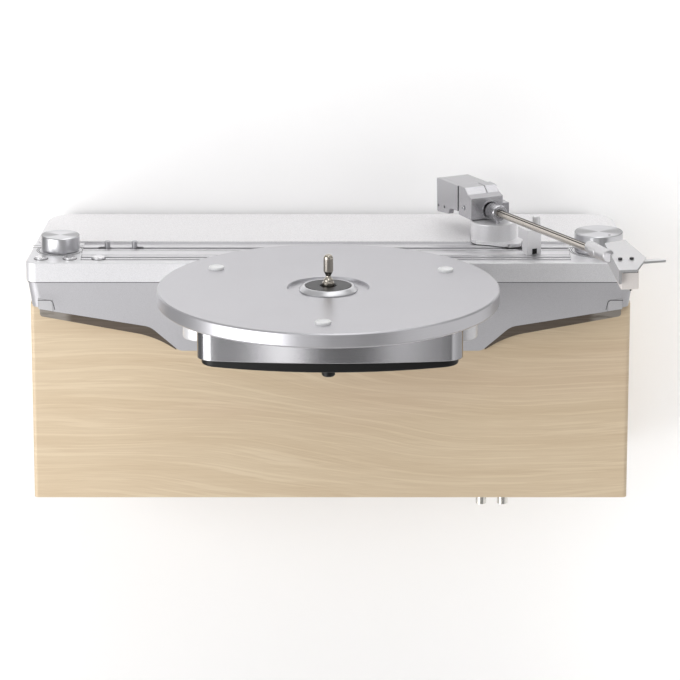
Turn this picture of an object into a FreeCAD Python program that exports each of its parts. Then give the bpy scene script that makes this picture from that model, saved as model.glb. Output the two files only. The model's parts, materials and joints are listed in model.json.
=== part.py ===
import FreeCAD, Part
import os
import re
import Sketcher
from FreeCAD import Vector

# Wall-hung turntable. The frame of the part: +X to the right, +Y into the wall, +Z up, in millimetres.
# Its origin is the centre of the wall plate's four screw holes, on the wall itself. Most pieces are
# drawn in the deck's own coordinates instead: x from the middle, y from the deck's front edge back,
# z from the deck's top up. The Placement of each piece carries them over.

SIZES = {
    # where the deck stands on the wall
    "deck_to_wall": 4,
    "mount_drop": 113,
    "face_gap": 0.3,
    "running_gap": 0.05,
    "past": 1,
    # upper deck shell
    "deck_front_half": 231.7,
    "deck_rear_inset": 9.7,
    "deck_depth": 150,
    "band_height": 15,
    "deck_plate": 4,
    "deck_wall": 3,
    "front_corner": 7.5,
    "rear_corner": 20,
    "deck_edge": 0.8,
    # lower deck shell with its raked skirt
    "shell_step": 0.9,
    "shell_depth": 36.2,
    "shell_draft": 2.8,
    "shell_wall": 3.5,
    "skirt_rake": 10,
    "skirt_outer_inset": 9.2,
    "skirt_outer_fall": 1.4,
    "skirt_bend_run": 21.7,
    "skirt_bend_fall": 16.2,
    "skirt_foot_gap": 6.8,
    "skirt_foot_fall": 36.2,
    "skirt_bend_round": 14,
    "skirt_foot_round": 8,
    "boss_radius": 6,
    "boss_web": 4,
    "boss_front_y": 68,
    "boss_rear_inset": 23,
    "deck_screw_radius": 2,
    "deck_screw_head": 4,
    "deck_screw_bite": 9,
    # strips under the skirt
    "trim_set_back": 1,
    "trim_outer_gap": 1,
    "trim_height": 5.9,
    "trim_bend_height": 8.2,
    "trim_bend_shift": 2.5,
    "trim_inner_gap": 2.2,
    "trim_tip": 1.5,
    "trim_round": 2.5,
    # corner covers
    "cover_margin": 0.3,
    "cover_width": 10.8,
    "cover_height": 7.2,
    "cover_slant": 1.8,
    "cover_thick": 1,
    "cover_pocket": 1.2,
    # ribbed strip in the deck's top
    "strip_left_inset": 41.7,
    "strip_right_inset": 48.7,
    "strip_front": 8,
    "strip_back": 54,
    "strip_seat": 2.4,
    "groove_depth": 1.5,
    "groove_width": 3,
    "land_width": 3.5,
    "wide_groove": 4,
    "crest_front": 23,
    "crest_back": 44,
    "crest_height": 1,
    "crest_edge_drop": 0.8,
    "back_groove": 2.5,
    "channel_width": 8,
    "channel_depth": 1.2,
    # rear top plate
    "plate_front": 62,
    "plate_margin": 2,
    "plate_thick": 1,
    # cabinet
    "cabinet_inset": 2.5,
    "cabinet_front_y": 15,
    "cabinet_drop": 191.8,
    "front_board": 12,
    "side_board": 12,
    "bottom_board": 12,
    "back_board": 4,
    "back_board_inset": 17,
    "board_round": 3,
    "tray_thick": 2,
    # wall plate and hanger
    "wall_plate_width": 300,
    "wall_plate_height": 60,
    "wall_plate_thick": 3,
    "wall_hole_radius": 2.6,
    "wall_hole_margin_x": 30,
    "wall_hole_margin_z": 12,
    "hook_reach": 8,
    "hook_thick": 2.5,
    "hook_height": 10,
    "rail_end_gap": 10,
    "rail_leg": 12.5,
    "rail_thick": 2.5,
    # platter housing
    "housing_half": 109,
    "housing_back": 30,
    "housing_corner": 14.5,
    "housing_seat": 0.2,
    "housing_wall": 4,
    "nose_inset": 18.5,
    "nose_ahead": 7.8,
    "nose_length": 25,
    "nose_bow": 7.5,
    "nose_back": 3,
    "nose_fall": 7,
    "nose_corner": 4,
    "base_height": 5.5,
    "base_crown": 2.6,
    # platter, its hub and its bearing
    "platter_x": 1.2,
    "platter_radius": 125,
    "platter_lap": 7.8,
    "platter_bottom": 2,
    "platter_top": 13,
    "platter_chamfer": 1.2,
    "rim_width": 13,
    "web_thick": 7,
    "label_radius": 30.3,
    "label_depth": 1.2,
    "pad_radius": 5.8,
    "pad_inset": 27,
    "pad_angle": 28,
    "pad_height": 1.8,
    "pad_seat": 1.5,
    "hub_radius": 20.5,
    "hub_top_radius": 17.3,
    "hub_height": 2.6,
    "hub_lip": 0.7,
    "hub_bore": 6,
    "disc_margin": 0.8,
    "disc_thick": 0.9,
    "shaft_radius": 4,
    "spindle_radius": 3.6,
    "spindle_seat_top": 19,
    "spindle_neck": 1.8,
    "spindle_bulb": 3.5,
    "spindle_neck_z": 21.3,
    "spindle_bulb_z": 25,
    "spindle_shoulder_z": 36,
    "spindle_top": 37.9,
    "sub_platter_radius": 60,
    "sub_platter_thick": 5.2,
    "belt_thick": 1,
    "belt_height": 4,
    "bearing_radius": 9,
    "bearing_flange": 11,
    "bearing_flange_thick": 3,
    "bush_radius": 6.5,
    "bearing_floor": 3.7,
    "screw_radius": 3,
    "screw_rise": 0.5,
    "screw_head_radius": 5,
    "screw_head": 5.3,
    "screw_head_edge": 1,
    # motor
    "motor_x": 62,
    "motor_behind": 57.2,
    "motor_radius": 18,
    "motor_height": 22,
    "motor_shaft": 1.5,
    "pulley_radius": 9,
    "pulley_hole": 6,
    # knobs
    "left_knob_inset": 24.7,
    "left_knob_y": 39,
    "left_knob_radius": 14.8,
    "left_knob_height": 12,
    "right_knob_inset": 26.3,
    "right_knob_y": 37.4,
    "right_knob_radius": 18.6,
    "right_knob_height": 15,
    "knob_rise": 0.4,
    "knob_chamfer": 0.8,
    "knob_cap": 2,
    "knob_shaft": 3,
    "control_radius": 9,
    "control_height": 9.5,
    # push buttons
    "button_inset": 11.5,
    "button_pitch": 21.9,
    "button_y": 12.6,
    "button_radius": 4.75,
    "button_rise": 1.8,
    "button_gap": 0.1,
    "button_travel": 1.5,
    "button_stem": 2,
    # slide posts
    "post_inset": 60.2,
    "post_pitch": 20.9,
    "post_y": 46.5,
    "post_radius": 2.2,
    "post_rise": 5.6,
    "post_travel": 4.5,
    "post_foot": 3.6,
    "post_foot_thick": 3,
    # boards, supply and sockets
    "board_gap": 3.5,
    "board_thick": 1.6,
    "board_post": 2.5,
    "board_post_inset": 7.5,
    "board_inset": 11.7,
    "board_width": 90,
    "board_front": 7,
    "board_back": 58,
    "phono_margin_left": 25.2,
    "phono_margin_right": 18,
    "phono_lip": 5,
    "phono_back_gap": 21,
    "phono_rise": 6,
    "supply_half": 60,
    "supply_depth": 60,
    "supply_back_gap": 13,
    "supply_height": 40,
    "jack_inset": 112,
    "jack_pitch": 16.6,
    "jack_y": 34,
    "jack_radius": 4.15,
    "jack_length": 10.4,
    "jack_flange": 6,
    "jack_flange_thick": 1.2,
    "jack_shank": 3.6,
    "jack_bore": 1.6,
    "inlet_inset": 79.2,
    "inlet_y": 62,
    "inlet_radius": 6,
    "inlet_flange": 8.5,
    "inlet_bore": 2.8,
    "inlet_pin": 1,
    "inlet_depth": 9,
    "inlet_length": 14,
    # tonearm, measured along the arm from its pivot
    "pivot_inset": 113.5,
    "pivot_y": 82.6,
    "axis_rise": 24.3,
    "rest_yaw": 64,
    "rest_pitch": 2,
    "tube_radius": 2.9,
    "collar_radius": 7.9,
    "collar_start": 14.8,
    "collar_end": 23,
    "collet_radius": 4.3,
    "collet_start": 168,
    "head_at": 197,
    "head_offset": 20.8,
    "head_thick": 2,
    "head_top": 1.7,
    "head_wall": 2,
    "head_wall_height": 9,
    "head_left": 1,
    "head_front": 40.6,
    "head_front_right": 14.3,
    "head_waist": 31.7,
    "head_waist_right": 17.8,
    "head_wide": 12.3,
    "head_wide_right": 25.5,
    "head_rear": 35.1,
    "head_rear_right": 17.5,
    "head_rear_left": 27.8,
    "lift_at": 17.5,
    "lift_root": 7,
    "lift_tip": 2.4,
    "lift_end": 39,
    "lift_thick": 1.6,
    "cartridge_rear": 11.5,
    "cartridge_front": 37.5,
    "cartridge_right": 17.1,
    "cartridge_height": 13.9,
    "stylus_at": 34.5,
    "stylus_width": 3,
    "stylus_length": 12,
    "stylus_drop": 2.7,
    "head_screw_at": 14.4,
    "head_screw_pitch": 8.4,
    "head_screw_radius": 1.6,
    "head_screw_rise": 1.2,
    # pivot housing, on its upright shaft
    "yoke_rear": 8,
    "yoke_front": 13,
    "yoke_left": 17,
    "yoke_right": 16,
    "yoke_top_right": 10.5,
    "yoke_step_z": 28,
    "yoke_bottom": 17.2,
    "yoke_face_top": 34,
    "yoke_bevel_at": 7,
    "yoke_bevel_z": 36,
    "yoke_brow_at": 2,
    "yoke_top": 40.5,
    "tunnel_half": 7,
    "tunnel_floor": 18,
    "tunnel_top": 30.8,
    "block_radius": 4.5,
    "pin_radius": 1.5,
    "pin_cover": 2,
    "pin_end_gap": 1,
    "yaw_shaft_radius": 4,
    "yaw_flange": 8,
    "yaw_flange_thick": 0.9,
    "yaw_shaft_depth": 12,
    "yaw_bush_radius": 6,
    "yaw_bush_short": 2,
    # counterweight
    "weight_rear": 37,
    "weight_front": 10,
    "weight_right": 10,
    "weight_bottom": 6,
    "weight_top": 15.7,
    "cheek_thick": 4.4,
    "cheek_front": 11,
    "weight_core": 7.5,
    "core_cover": 2,
    "arch_at": 13.5,
    "arch_radius": 4.5,
    # pedestal, its plan measured from the pivot: to the left, right, front and back of it
    "pedestal_height": 16,
    "pedestal_left": 9.5,
    "pedestal_right": 23,
    "pedestal_back": 9.6,
    "pedestal_back_left": 4.6,
    "pedestal_back_turn": 0.4,
    "pedestal_side": 20.6,
    "pedestal_nose_right": 4.4,
    "pedestal_nose": 28.6,
    "pedestal_tip_right": 11.8,
    "pedestal_tip": 32.1,
    "pedestal_front_right": 26.6,
    "pedestal_round": 8,
    "flange_thick": 3,
    "flange_tip_right": 19,
    "flange_tip": 38.6,
    "flange_right": 28.8,
    "flange_turn": 35.8,
    "flange_back": 2.6,
    # arm rest
    "rest_near": 47,
    "rest_far": 67,
    "rest_inner": 3,
    "rest_outer": 14.4,
    "rest_height": 19.4,
    "finger_near": 60,
    "finger_far": 66,
    "finger_inner": 3.5,
    "stop_thick": 1.7,
    "stop_top": 29.5,
    "post_outer": 10,
    "post_width": 6.8,
    "post_top": 30,
    "notch_depth": 4,
    "notch_width": 4,
    "notch_height": 8,
}

doc = FreeCAD.newDocument("Turntable")
sheet = doc.addObject("Spreadsheet::Sheet", "Sizes")
for row, (alias, value) in enumerate(SIZES.items(), start=1):
    sheet.set("A%d" % row, alias)
    sheet.set("B%d" % row, str(value))
    sheet.setAlias("B%d" % row, alias)
doc.recompute()

# Places that follow from the sizes, each written once as an expression.
DERIVED = {
    "front_y": "-(deck_to_wall + deck_depth)",
    "top_z": "mount_drop",
    "deck_taper": "deck_rear_inset / deck_depth",
    "shell_height": "shell_depth - band_height",
    "shell_rake": "shell_height * tan(skirt_rake)",
    "shell_half": "deck_front_half - shell_step",
    "skirt_outer_x": "deck_front_half - skirt_outer_inset",
    "skirt_outer_drop": "shell_depth + skirt_outer_fall",
    "skirt_foot_x": "housing_half + skirt_foot_gap",
    "skirt_depth": "shell_depth + skirt_foot_fall",
    "skirt_bend_x": "skirt_foot_x + skirt_bend_run",
    "skirt_bend_drop": "shell_depth + skirt_bend_fall",
    "trim_outer_x": "skirt_outer_x - trim_outer_gap",
    "trim_bend_x": "skirt_bend_x - trim_bend_shift",
    "trim_inner_x": "skirt_foot_x + trim_inner_gap",
    "cover_outer_x": "skirt_outer_x - cover_margin",
    "cover_inner_x": "cover_outer_x - cover_width",
    "cover_top_drop": "shell_depth - cover_height",
    "strip_left": "deck_front_half - strip_left_inset",
    "strip_right": "deck_front_half - strip_right_inset",
    "cabinet_half": "deck_front_half - cabinet_inset",
    "back_board_y": "deck_depth - back_board_inset",
    "boss_rear_y": "deck_depth - boss_rear_inset",
    "wall_hole_span_x": "wall_plate_width - 2 * wall_hole_margin_x",
    "wall_hole_span_z": "wall_plate_height - 2 * wall_hole_margin_z",
    "rail_length": "wall_plate_width - 2 * rail_end_gap",
    "tray_half": "shell_half - shell_draft - shell_wall - 2 * face_gap",
    "tray_front": "shell_step + shell_rake + shell_wall + face_gap",
    "boss_half": "cabinet_half - side_board - deck_screw_head - 2 * face_gap",
    "strip_low": "-strip_seat",
    "cabinet_back_y": "deck_depth",
    "bottom_top": "-(cabinet_drop - bottom_board)",
    "wall_y": "deck_depth + deck_to_wall",
    "housing_top": "-deck_plate",
    "housing_drop": "shell_depth - tray_thick - housing_seat",
    "platter_y": "platter_radius - platter_lap",
    "nose_half": "housing_half - nose_inset",
    "nose_front": "platter_y + nose_ahead",
    "housing_front": "nose_front - nose_length",
    "nose_drop": "housing_drop + nose_fall",
    "base_end_drop": "nose_drop + base_height",
    "base_middle_drop": "base_end_drop + base_crown",
    "rim_inner": "platter_radius - rim_width",
    "pad_circle": "platter_radius - pad_inset",
    "disc_radius": "hub_top_radius - disc_margin",
    "motor_y": "platter_y - motor_behind",
    "nose_radius": "(nose_half ^ 2 + nose_bow ^ 2) / (2 * nose_bow)",
    "hollow_half": "nose_half - housing_wall",
    "hollow_radius": "(hollow_half ^ 2 + nose_bow ^ 2) / (2 * nose_bow)",
    "crown_radius": "(nose_half ^ 2 + base_crown ^ 2) / (2 * base_crown)",
    "crest_half": "(crest_back - crest_front) / 2",
    "crest_bow": "crest_height + crest_edge_drop",
    "crest_radius": "(crest_half ^ 2 + crest_bow ^ 2) / (2 * crest_bow)",
    "web_low": "platter_top - web_thick",
    "label_floor": "platter_top - label_depth",
    "hub_top": "label_floor + hub_height",
    "bearing_end": "-(nose_drop - face_gap)",
    "bearing_pit": "bearing_end + bearing_floor",
    "shaft_end": "bearing_pit + screw_rise",
    "belt_inner": "sub_platter_radius + face_gap",
    "belt_outer": "belt_inner + belt_thick",
    "pulley_inner": "pulley_radius + face_gap",
    "pulley_outer": "pulley_inner + belt_thick",
    "belt_run": "sqrt((motor_x - platter_x) ^ 2 + (platter_y - motor_y) ^ 2)",
    "belt_low": "web_low - (sub_platter_thick + belt_height) / 2",
    "belt_cos": "(sub_platter_radius - pulley_radius) / belt_run",
    "belt_sin": "sqrt(1 - belt_cos ^ 2)",
    "sub_platter_low": "web_low - sub_platter_thick",
    "control_low": "-(deck_plate + control_height)",
    "left_knob_x": "deck_front_half - left_knob_inset",
    "right_knob_x": "deck_front_half - right_knob_inset",
    "button_first_x": "deck_front_half - button_inset",
    "post_left_x": "deck_front_half - post_inset",
    "post_right_x": "post_left_x - post_pitch",
    "board_top": "control_low - board_gap",
    "board_left": "deck_front_half - board_inset",
    "board_right": "board_left - board_width",
    "tray_top": "tray_thick - shell_depth",
    "stem_end": "board_top + button_travel + face_gap",
    "jack_first_x": "cabinet_half - jack_inset",
    "inlet_x": "cabinet_half - inlet_inset",
    "phono_top": "bottom_top + phono_rise + board_thick",
    "phono_left": "jack_first_x - phono_margin_left",
    "phono_right": "inlet_x + phono_margin_right",
    "phono_front": "jack_y - phono_lip",
    "phono_back": "back_board_y - phono_back_gap",
    "supply_back": "back_board_y - supply_back_gap",
    "supply_front": "supply_back - supply_depth",
    "pivot_x": "deck_front_half - pivot_inset",
    "weight_left": "yoke_left + face_gap + cheek_thick",
    "head_low": "head_top - head_thick",
    "cartridge_left": "head_left + head_wall + face_gap",
    "cartridge_low": "head_low - cartridge_height",
    "screw_middle": "(cartridge_left + cartridge_right) / 2",
    "tube_low_near": "axis_rise + finger_near * sin(rest_pitch) - tube_radius / cos(rest_pitch)",
    "finger_top": "tube_low_near - face_gap",
    "finger_thick": "finger_top - rest_height",
}
WORD = re.compile(r"[a-z][a-z0-9_]*")
NODES = []


def fx(text):
    """The expression with its derived places written out and its sizes read from the sheet."""
    def swap(match):
        word = match.group(0)
        if word in DERIVED:
            return "(" + fx(DERIVED[word]) + ")"
        return "Sizes." + word if word in SIZES else word
    return WORD.sub(swap, str(text))


def num(text):
    """The expression's value now, for a sketch's first guess and for finding edges."""
    return float(sheet.evalExpression(fx(text)))


def place(item, x="0", y="0", z="0", turn="0;0;0", deck=True):
    """Binds an object's Placement; y and z are the deck's unless deck is False."""
    if deck:
        y = "front_y + (%s)" % y
        z = "top_z + (%s)" % z
    item.setExpression("Placement", fx("placement(vector(%s; %s; %s); rotation(%s))" % (x, y, z, turn)))


def node(item, label):
    item.Label = label
    NODES.append(item)
    return item


def new_body(label, x="0", y="0", z="0", turn="0;0;0"):
    body = node(doc.addObject("PartDesign::Body", label), label)
    place(body, x, y, z, turn)
    return body


def sketch(body, name, plane, shift="0; 0; 0", turn="0; 0; 0"):
    """A sketch on one of the body's own origin planes, moved by shift in the plane's own directions."""
    drawing = body.newObject("Sketcher::SketchObject", name)
    support = [item for item in body.Origin.OriginFeatures if item.Role == plane][0]
    drawing.AttachmentSupport = [(support, "")]
    drawing.MapMode = "FlatFace"
    drawing.setExpression("AttachmentOffset", fx("placement(vector(%s); rotation(%s))" % (shift, turn)))
    return drawing


def bind(drawing, constraint, expression):
    index = drawing.addConstraint(constraint)
    drawing.setExpression("Constraints[%d]" % index, fx(expression))


def pin_vertex(drawing, edge, end, x=None, y=None):
    """Fixes one point of an edge (1 start, 2 end, 3 centre) at (x, y) from the sketch's origin."""
    for kind, axis, text in (("DistanceX", -2, x), ("DistanceY", -1, y)):
        if text is None:
            continue
        value = num(text)
        if abs(value) < 1e-9:
            drawing.addConstraint(Sketcher.Constraint("PointOnObject", edge, end, axis))
        else:
            bind(drawing, Sketcher.Constraint(kind, -1, 1, edge, end, value), text)


def outline(drawing, points):
    """A closed outline. A point is (x, y), or (x, y, middle x, middle y, radius) where an arc follows it.

    A half circle has its centre's x, as ("centre", x), in place of the radius.
    """
    spots = [Vector(num(point[0]), num(point[1]), 0) for point in points]
    first = drawing.GeometryCount
    ends = []
    for index, point in enumerate(points):
        start = spots[index]
        stop = spots[(index + 1) % len(points)]
        if len(point) == 2:
            drawing.addGeometry(Part.LineSegment(start, stop), False)
            ends.append((1, 2))
            continue
        middle = Vector(num(point[2]), num(point[3]), 0)
        drawing.addGeometry(Part.Arc(start, middle, stop), False)
        left_turn = (stop - start).cross(middle - start).z < 0
        ends.append((1, 2) if left_turn else (2, 1))
    for index, point in enumerate(points):
        follower = (index + 1) % len(points)
        drawing.addConstraint(Sketcher.Constraint("Coincident", first + index, ends[index][1],
                                                  first + follower, ends[follower][0]))
        pin_vertex(drawing, first + index, ends[index][0], point[0], point[1])
        if len(point) > 2 and isinstance(point[4], tuple):
            pin_vertex(drawing, first + index, 3, x=point[4][1])
        elif len(point) > 2:
            bind(drawing, Sketcher.Constraint("Radius", first + index, num(point[4])), point[4])


def circle(drawing, x, y, radius):
    centre = Vector(num(x), num(y), 0)
    edge = drawing.addGeometry(Part.Circle(centre, Vector(0, 0, 1), num(radius)), False)
    pin_vertex(drawing, edge, 3, x, y)
    bind(drawing, Sketcher.Constraint("Radius", edge, num(radius)), radius)


def draw(drawing, shapes):
    """Outlines are lists of points; circles are (x, y, radius)."""
    for shape in shapes:
        if isinstance(shape, tuple):
            circle(drawing, *shape)
        else:
            outline(drawing, shape)


NORMAL = {"XY_Plane": 1, "XZ_Plane": -1, "YZ_Plane": 1}


def extrude(body, kind, name, plane, shapes, low, high, shift=("0", "0"), turn="0"):
    """A Pad or Pocket of the shapes between low and high along the plane's own axis."""
    forward = (NORMAL[plane] > 0) == (kind == "Pad")
    level = low if forward else high
    sign = "" if NORMAL[plane] > 0 else "-"
    drawing = sketch(body, name + "_sketch", plane, "%s; %s; %s(%s)" % (shift[0], shift[1], sign, level),
                     "%s; 0; 0" % turn)
    draw(drawing, shapes)
    feature = body.newObject("PartDesign::" + kind, name)
    feature.Profile = drawing
    feature.setExpression("Length", fx("(%s) - (%s)" % (high, low)))
    drawing.Visibility = False
    before = body_volume(body) if kind == "Pocket" else 0
    doc.recompute()
    if kind == "Pocket" and not feature.Shape.Volume < before:
        raise ValueError(name + " cuts nothing")
    return feature


def body_volume(body):
    previous = [item for item in body.Group if item.isDerivedFrom("PartDesign::Feature")][-2]
    return previous.Shape.Volume


def pad(body, name, shapes, low, high, plane="XY_Plane", **more):
    return extrude(body, "Pad", name, plane, shapes, low, high, **more)


def pocket(body, name, shapes, low, high, plane="XY_Plane", **more):
    return extrude(body, "Pocket", name, plane, shapes, low, high, **more)


def turned(label, x, y, profile, turn="0;0;0", z="0"):
    """A turned piece: the profile holds (radius, height) points, turned about the body's own z axis."""
    body = new_body(label, x, y, z, turn)
    drawing = sketch(body, label + "_profile", "XZ_Plane")
    outline(drawing, profile)
    feature = body.newObject("PartDesign::Revolution", label + "_turned")
    feature.Profile = drawing
    feature.ReferenceAxis = (drawing, ["V_Axis"])
    feature.Angle = 360
    doc.recompute()
    return body


def dress(body, kind, name, size, chosen):
    """A fillet or chamfer on the edges for which chosen(edge) is true."""
    base = body.Tip
    names = ["Edge%d" % number for number, edge in enumerate(base.Shape.Edges, start=1) if chosen(edge)]
    if not names:
        raise ValueError(name + " finds no edge")
    feature = body.newObject("PartDesign::" + kind, name)
    feature.Base = (base, names)
    feature.setExpression("Radius" if kind == "Fillet" else "Size", fx(size))
    doc.recompute()
    return feature


def near(edge, x=None, y=None, z=None, slack=0.6):
    """Whether the edge's middle lies at the given coordinates; x is found on both sides."""
    middle = edge.CenterOfMass
    wanted = ((abs(middle.x), x), (middle.y, y), (middle.z, z))
    return all(want is None or abs(value - num(want)) < slack for value, want in wanted)


def short(edge, length):
    """Whether the edge runs neither sideways nor further than the length."""
    return edge.BoundBox.XLength < 1e-6 and edge.Length < num(length)


def upright(edge):
    return edge.BoundBox.XLength < 1e-6 and edge.BoundBox.YLength < 1e-6


def flat_at(height):
    """Chooses the edges that lie wholly at one height."""
    def chosen(edge):
        return abs(edge.BoundBox.ZMin - num(height)) < 1e-6 and abs(edge.BoundBox.ZMax - num(height)) < 1e-6
    return chosen


def cylinder(name, radius, height, x, y, z):
    item = doc.addObject("Part::Cylinder", name)
    item.setExpression("Radius", fx(radius))
    item.setExpression("Height", fx(height))
    place(item, x, y, z, deck=False)
    return item


def fused(name, items):
    item = doc.addObject("Part::MultiFuse", name)
    item.Shapes = items
    return item


def cut(name, base, tool):
    item = doc.addObject("Part::Cut", name)
    item.Base = base
    item.Tool = tool
    return item


def group(label, items, x="0", y="0", z="0", turn="0;0;0"):
    """Several separate solids that make one node."""
    item = node(doc.addObject("Part::Compound", label), label)
    item.Links = items
    place(item, x, y, z, turn)
    return item


def rectangle(left, front, right, back):
    return [(left, front), (right, front), (right, back), (left, back)]


def mirrored(points):
    """A closed outline from the points of its right half, given from the middle line round to it again."""
    left = [("-(%s)" % x, y) for x, y in reversed(points)]
    return points + left


def slot(x_low, x_high, y, radius):
    """A straight slot along x between two centres."""
    low_y = "%s - (%s)" % (y, radius)
    high_y = "%s + (%s)" % (y, radius)
    return [(x_low, low_y), (x_high, low_y, "%s + (%s)" % (x_high, radius), y, ("centre", x_high)),
            (x_high, high_y), (x_low, high_y, "%s - (%s)" % (x_low, radius), y, ("centre", x_low))]


def deck_outline(half, front, back, inset="0", corner=None):
    """The deck's plan, which narrows to the rear, between two depths; corner rounds its rear corners."""
    def half_at(y):
        return "%s - (%s) - deck_taper * (%s)" % (half, inset, y)
    if corner is None:
        return mirrored([(half_at(front), front), (half_at(back), back)])
    turn_y = "%s - (%s)" % (back, corner)
    turn_x = "%s - (%s)" % (half_at(back), corner)
    share = "(1 - sqrt(0.5)) * (%s)" % corner
    right = (half_at(turn_y), turn_y, "%s - %s" % (half_at(back), share), "%s - %s" % (back, share), corner)
    left = ("-(%s)" % turn_x, back, "-(%s - %s)" % (half_at(back), share), "%s - %s" % (back, share), corner)
    return [(half_at(front), front), right, (turn_x, back), left, ("-(%s)" % half_at(turn_y), turn_y),
            ("-(%s)" % half_at(front), front)]


# Plan outlines that more than one piece uses, each grown by a gap where it passes through another piece.


def from_pivot(points, gap):
    """Points of a plan round the pivot. Each has an x and a y, and how the gap moves it in x and in y."""
    return [("pivot_x + %s + %d * (%s)" % (x, gap_x, gap), "pivot_y + %s + %d * (%s)" % (y, gap_y, gap))
            for x, y, gap_x, gap_y in points]


def pedestal_outline(gap="0"):
    return from_pivot([("-pedestal_left", "pedestal_back_left", -1, 1),
                       ("-pedestal_left", "-pedestal_side", -1, -1),
                       ("pedestal_nose_right", "-pedestal_nose", -1, -1),
                       ("pedestal_tip_right", "-pedestal_tip", 0, -1),
                       ("pedestal_right", "-pedestal_front_right", 1, -1),
                       ("pedestal_right", "pedestal_back", 1, 1),
                       ("pedestal_back_turn", "pedestal_back", 0, 1)], gap)


def flange_outline(gap="0"):
    return from_pivot([("pedestal_nose_right", "-pedestal_nose", -1, -1),
                       ("flange_tip_right", "-flange_tip", 0, -1),
                       ("flange_right", "-flange_turn", 1, -1),
                       ("flange_right", "-flange_back", 1, 1),
                       ("pedestal_nose_right", "-flange_back", -1, 1)], gap)


def rest_outline(gap="0"):
    return rectangle("rest_near - (%s)" % gap, "rest_inner - (%s)" % gap,
                     "rest_far + (%s)" % gap, "rest_outer + (%s)" % gap)


def skirt_edge(x):
    """Depth of the skirt's lower edge at x, on its long shallow run."""
    return ("-(skirt_bend_drop - (skirt_bend_drop - skirt_outer_drop) * (%s - skirt_bend_x)"
            " / (skirt_outer_x - skirt_bend_x))" % x)


BUTTONS = [("button_left", "-button_first_x"), ("button_middle", "-(button_first_x - button_pitch)"),
           ("button_right", "-(button_first_x - 2 * button_pitch)")]
KNOBS = [("left", "-left_knob_x", "left_knob_y"), ("right", "right_knob_x", "right_knob_y")]
POSTS = [("slide_post_left", "-post_left_x", "-post_travel", "0"),
         ("slide_post_right", "-post_right_x", "0", "post_travel")]


def control_holes(gap):
    """The deck's openings for the buttons, the knob shafts and the slide posts."""
    holes = [(x, "button_y", "button_radius + button_gap") for label, x in BUTTONS]
    holes += [(x, y, "knob_shaft + (%s)" % gap) for label, x, y in KNOBS]
    for label, x, low, high in POSTS:
        holes.append(slot("%s + (%s)" % (x, low), "%s + (%s)" % (x, high), "post_y", "post_radius + (%s)" % gap))
    return holes


# Upper deck shell: a cast tray, open below, with the strip's seat and the openings for the controls.
body = new_body("upper_deck_shell")
pad(body, "deck_block", [deck_outline("deck_front_half", "0", "deck_depth")], "-band_height", "0")
dress(body, "Fillet", "deck_front_corners", "front_corner", lambda edge: upright(edge) and near(edge, y="0"))
dress(body, "Fillet", "deck_rear_corners", "rear_corner",
      lambda edge: upright(edge) and near(edge, y="deck_depth"))
dress(body, "Fillet", "deck_top_edge", "deck_edge", flat_at("0"))
pocket(body, "deck_hollow",
       [deck_outline("deck_front_half", "deck_wall", "deck_depth - deck_wall", "deck_wall",
                     "rear_corner - deck_wall")],
       "-(band_height + past)", "-deck_plate")
pocket(body, "strip_pocket", [rectangle("-strip_left", "strip_front", "strip_right", "strip_back")],
       "-strip_seat", "past")
pocket(body, "rear_channel",
       [rectangle("-strip_left", "strip_back", "strip_right", "strip_back + channel_width")],
       "-channel_depth", "past")
pocket(body, "housing_gate",
       [rectangle("-(housing_half + face_gap)", "-(band_height + past)", "housing_half + face_gap", "-deck_plate")],
       "-past", "deck_wall + past", plane="XZ_Plane")
pocket(body, "control_openings", control_holes("face_gap"), "-band_height", "past")
pocket(body, "yaw_bush_opening", [("pivot_x", "pivot_y", "yaw_bush_radius + face_gap")], "-band_height", "past")

# Lower deck shell: drafted walls, then the raked skirt below them.
body = new_body("lower_deck_shell")


def shell_loft(kind, name, inset):
    """The drafted walls or their hollow, between the plans at the band and at the cabinet."""
    drawings = []
    for level, drop, half, front in (("top", "band_height", "shell_half", "shell_step"),
                                     ("bottom", "shell_depth", "shell_half - shell_draft",
                                      "shell_step + shell_rake")):
        drawing = sketch(body, name + "_" + level, "XY_Plane", "0; 0; -(%s)" % drop)
        draw(drawing, [deck_outline("%s - (%s)" % (half, inset), "%s + (%s)" % (front, inset),
                                    "deck_depth - (%s)" % inset, corner="rear_corner - (%s)" % inset)])
        drawings.append(drawing)
    doc.recompute()
    feature = body.newObject("PartDesign::" + kind, name)
    feature.Profile = drawings[0]
    feature.Sections = [drawings[1]]
    feature.Ruled = True
    doc.recompute()


shell_loft("AdditiveLoft", "shell_walls", "0")
dress(body, "Fillet", "shell_front_corners", "front_corner",
      lambda edge: edge.BoundBox.ZLength > num("shell_height") / 2 and edge.CenterOfMass.y < num("deck_depth / 2"))
shell_loft("SubtractiveLoft", "shell_hollow", "shell_wall")


def raked(name, kind, points, depth, set_back="0"):
    """A flat piece of the skirt. Its outline is drawn in x and z on the skirt's raked front face."""
    drawing = sketch(body, name + "_sketch", "XZ_Plane",
                     "0; -band_height - (%s) * sin(skirt_rake); -shell_step - (%s) * cos(skirt_rake)"
                     % (set_back, set_back), "0; 0; skirt_rake")
    draw(drawing, [[(x, "((%s) + band_height) / cos(skirt_rake)" % z) for x, z in points]])
    feature = body.newObject("PartDesign::" + kind, name)
    feature.Profile = drawing
    if kind == "Pad":
        feature.Reversed = True
    feature.setExpression("Length", fx(depth))
    doc.recompute()
    return feature


SKIRT = [("skirt_foot_x", "-skirt_depth"), ("skirt_bend_x", "-skirt_bend_drop"),
         ("skirt_outer_x", "-skirt_outer_drop"), ("skirt_outer_x", "-(shell_depth - shell_wall)")]
raked("skirt", "Pad", mirrored(SKIRT), "shell_wall")


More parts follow.
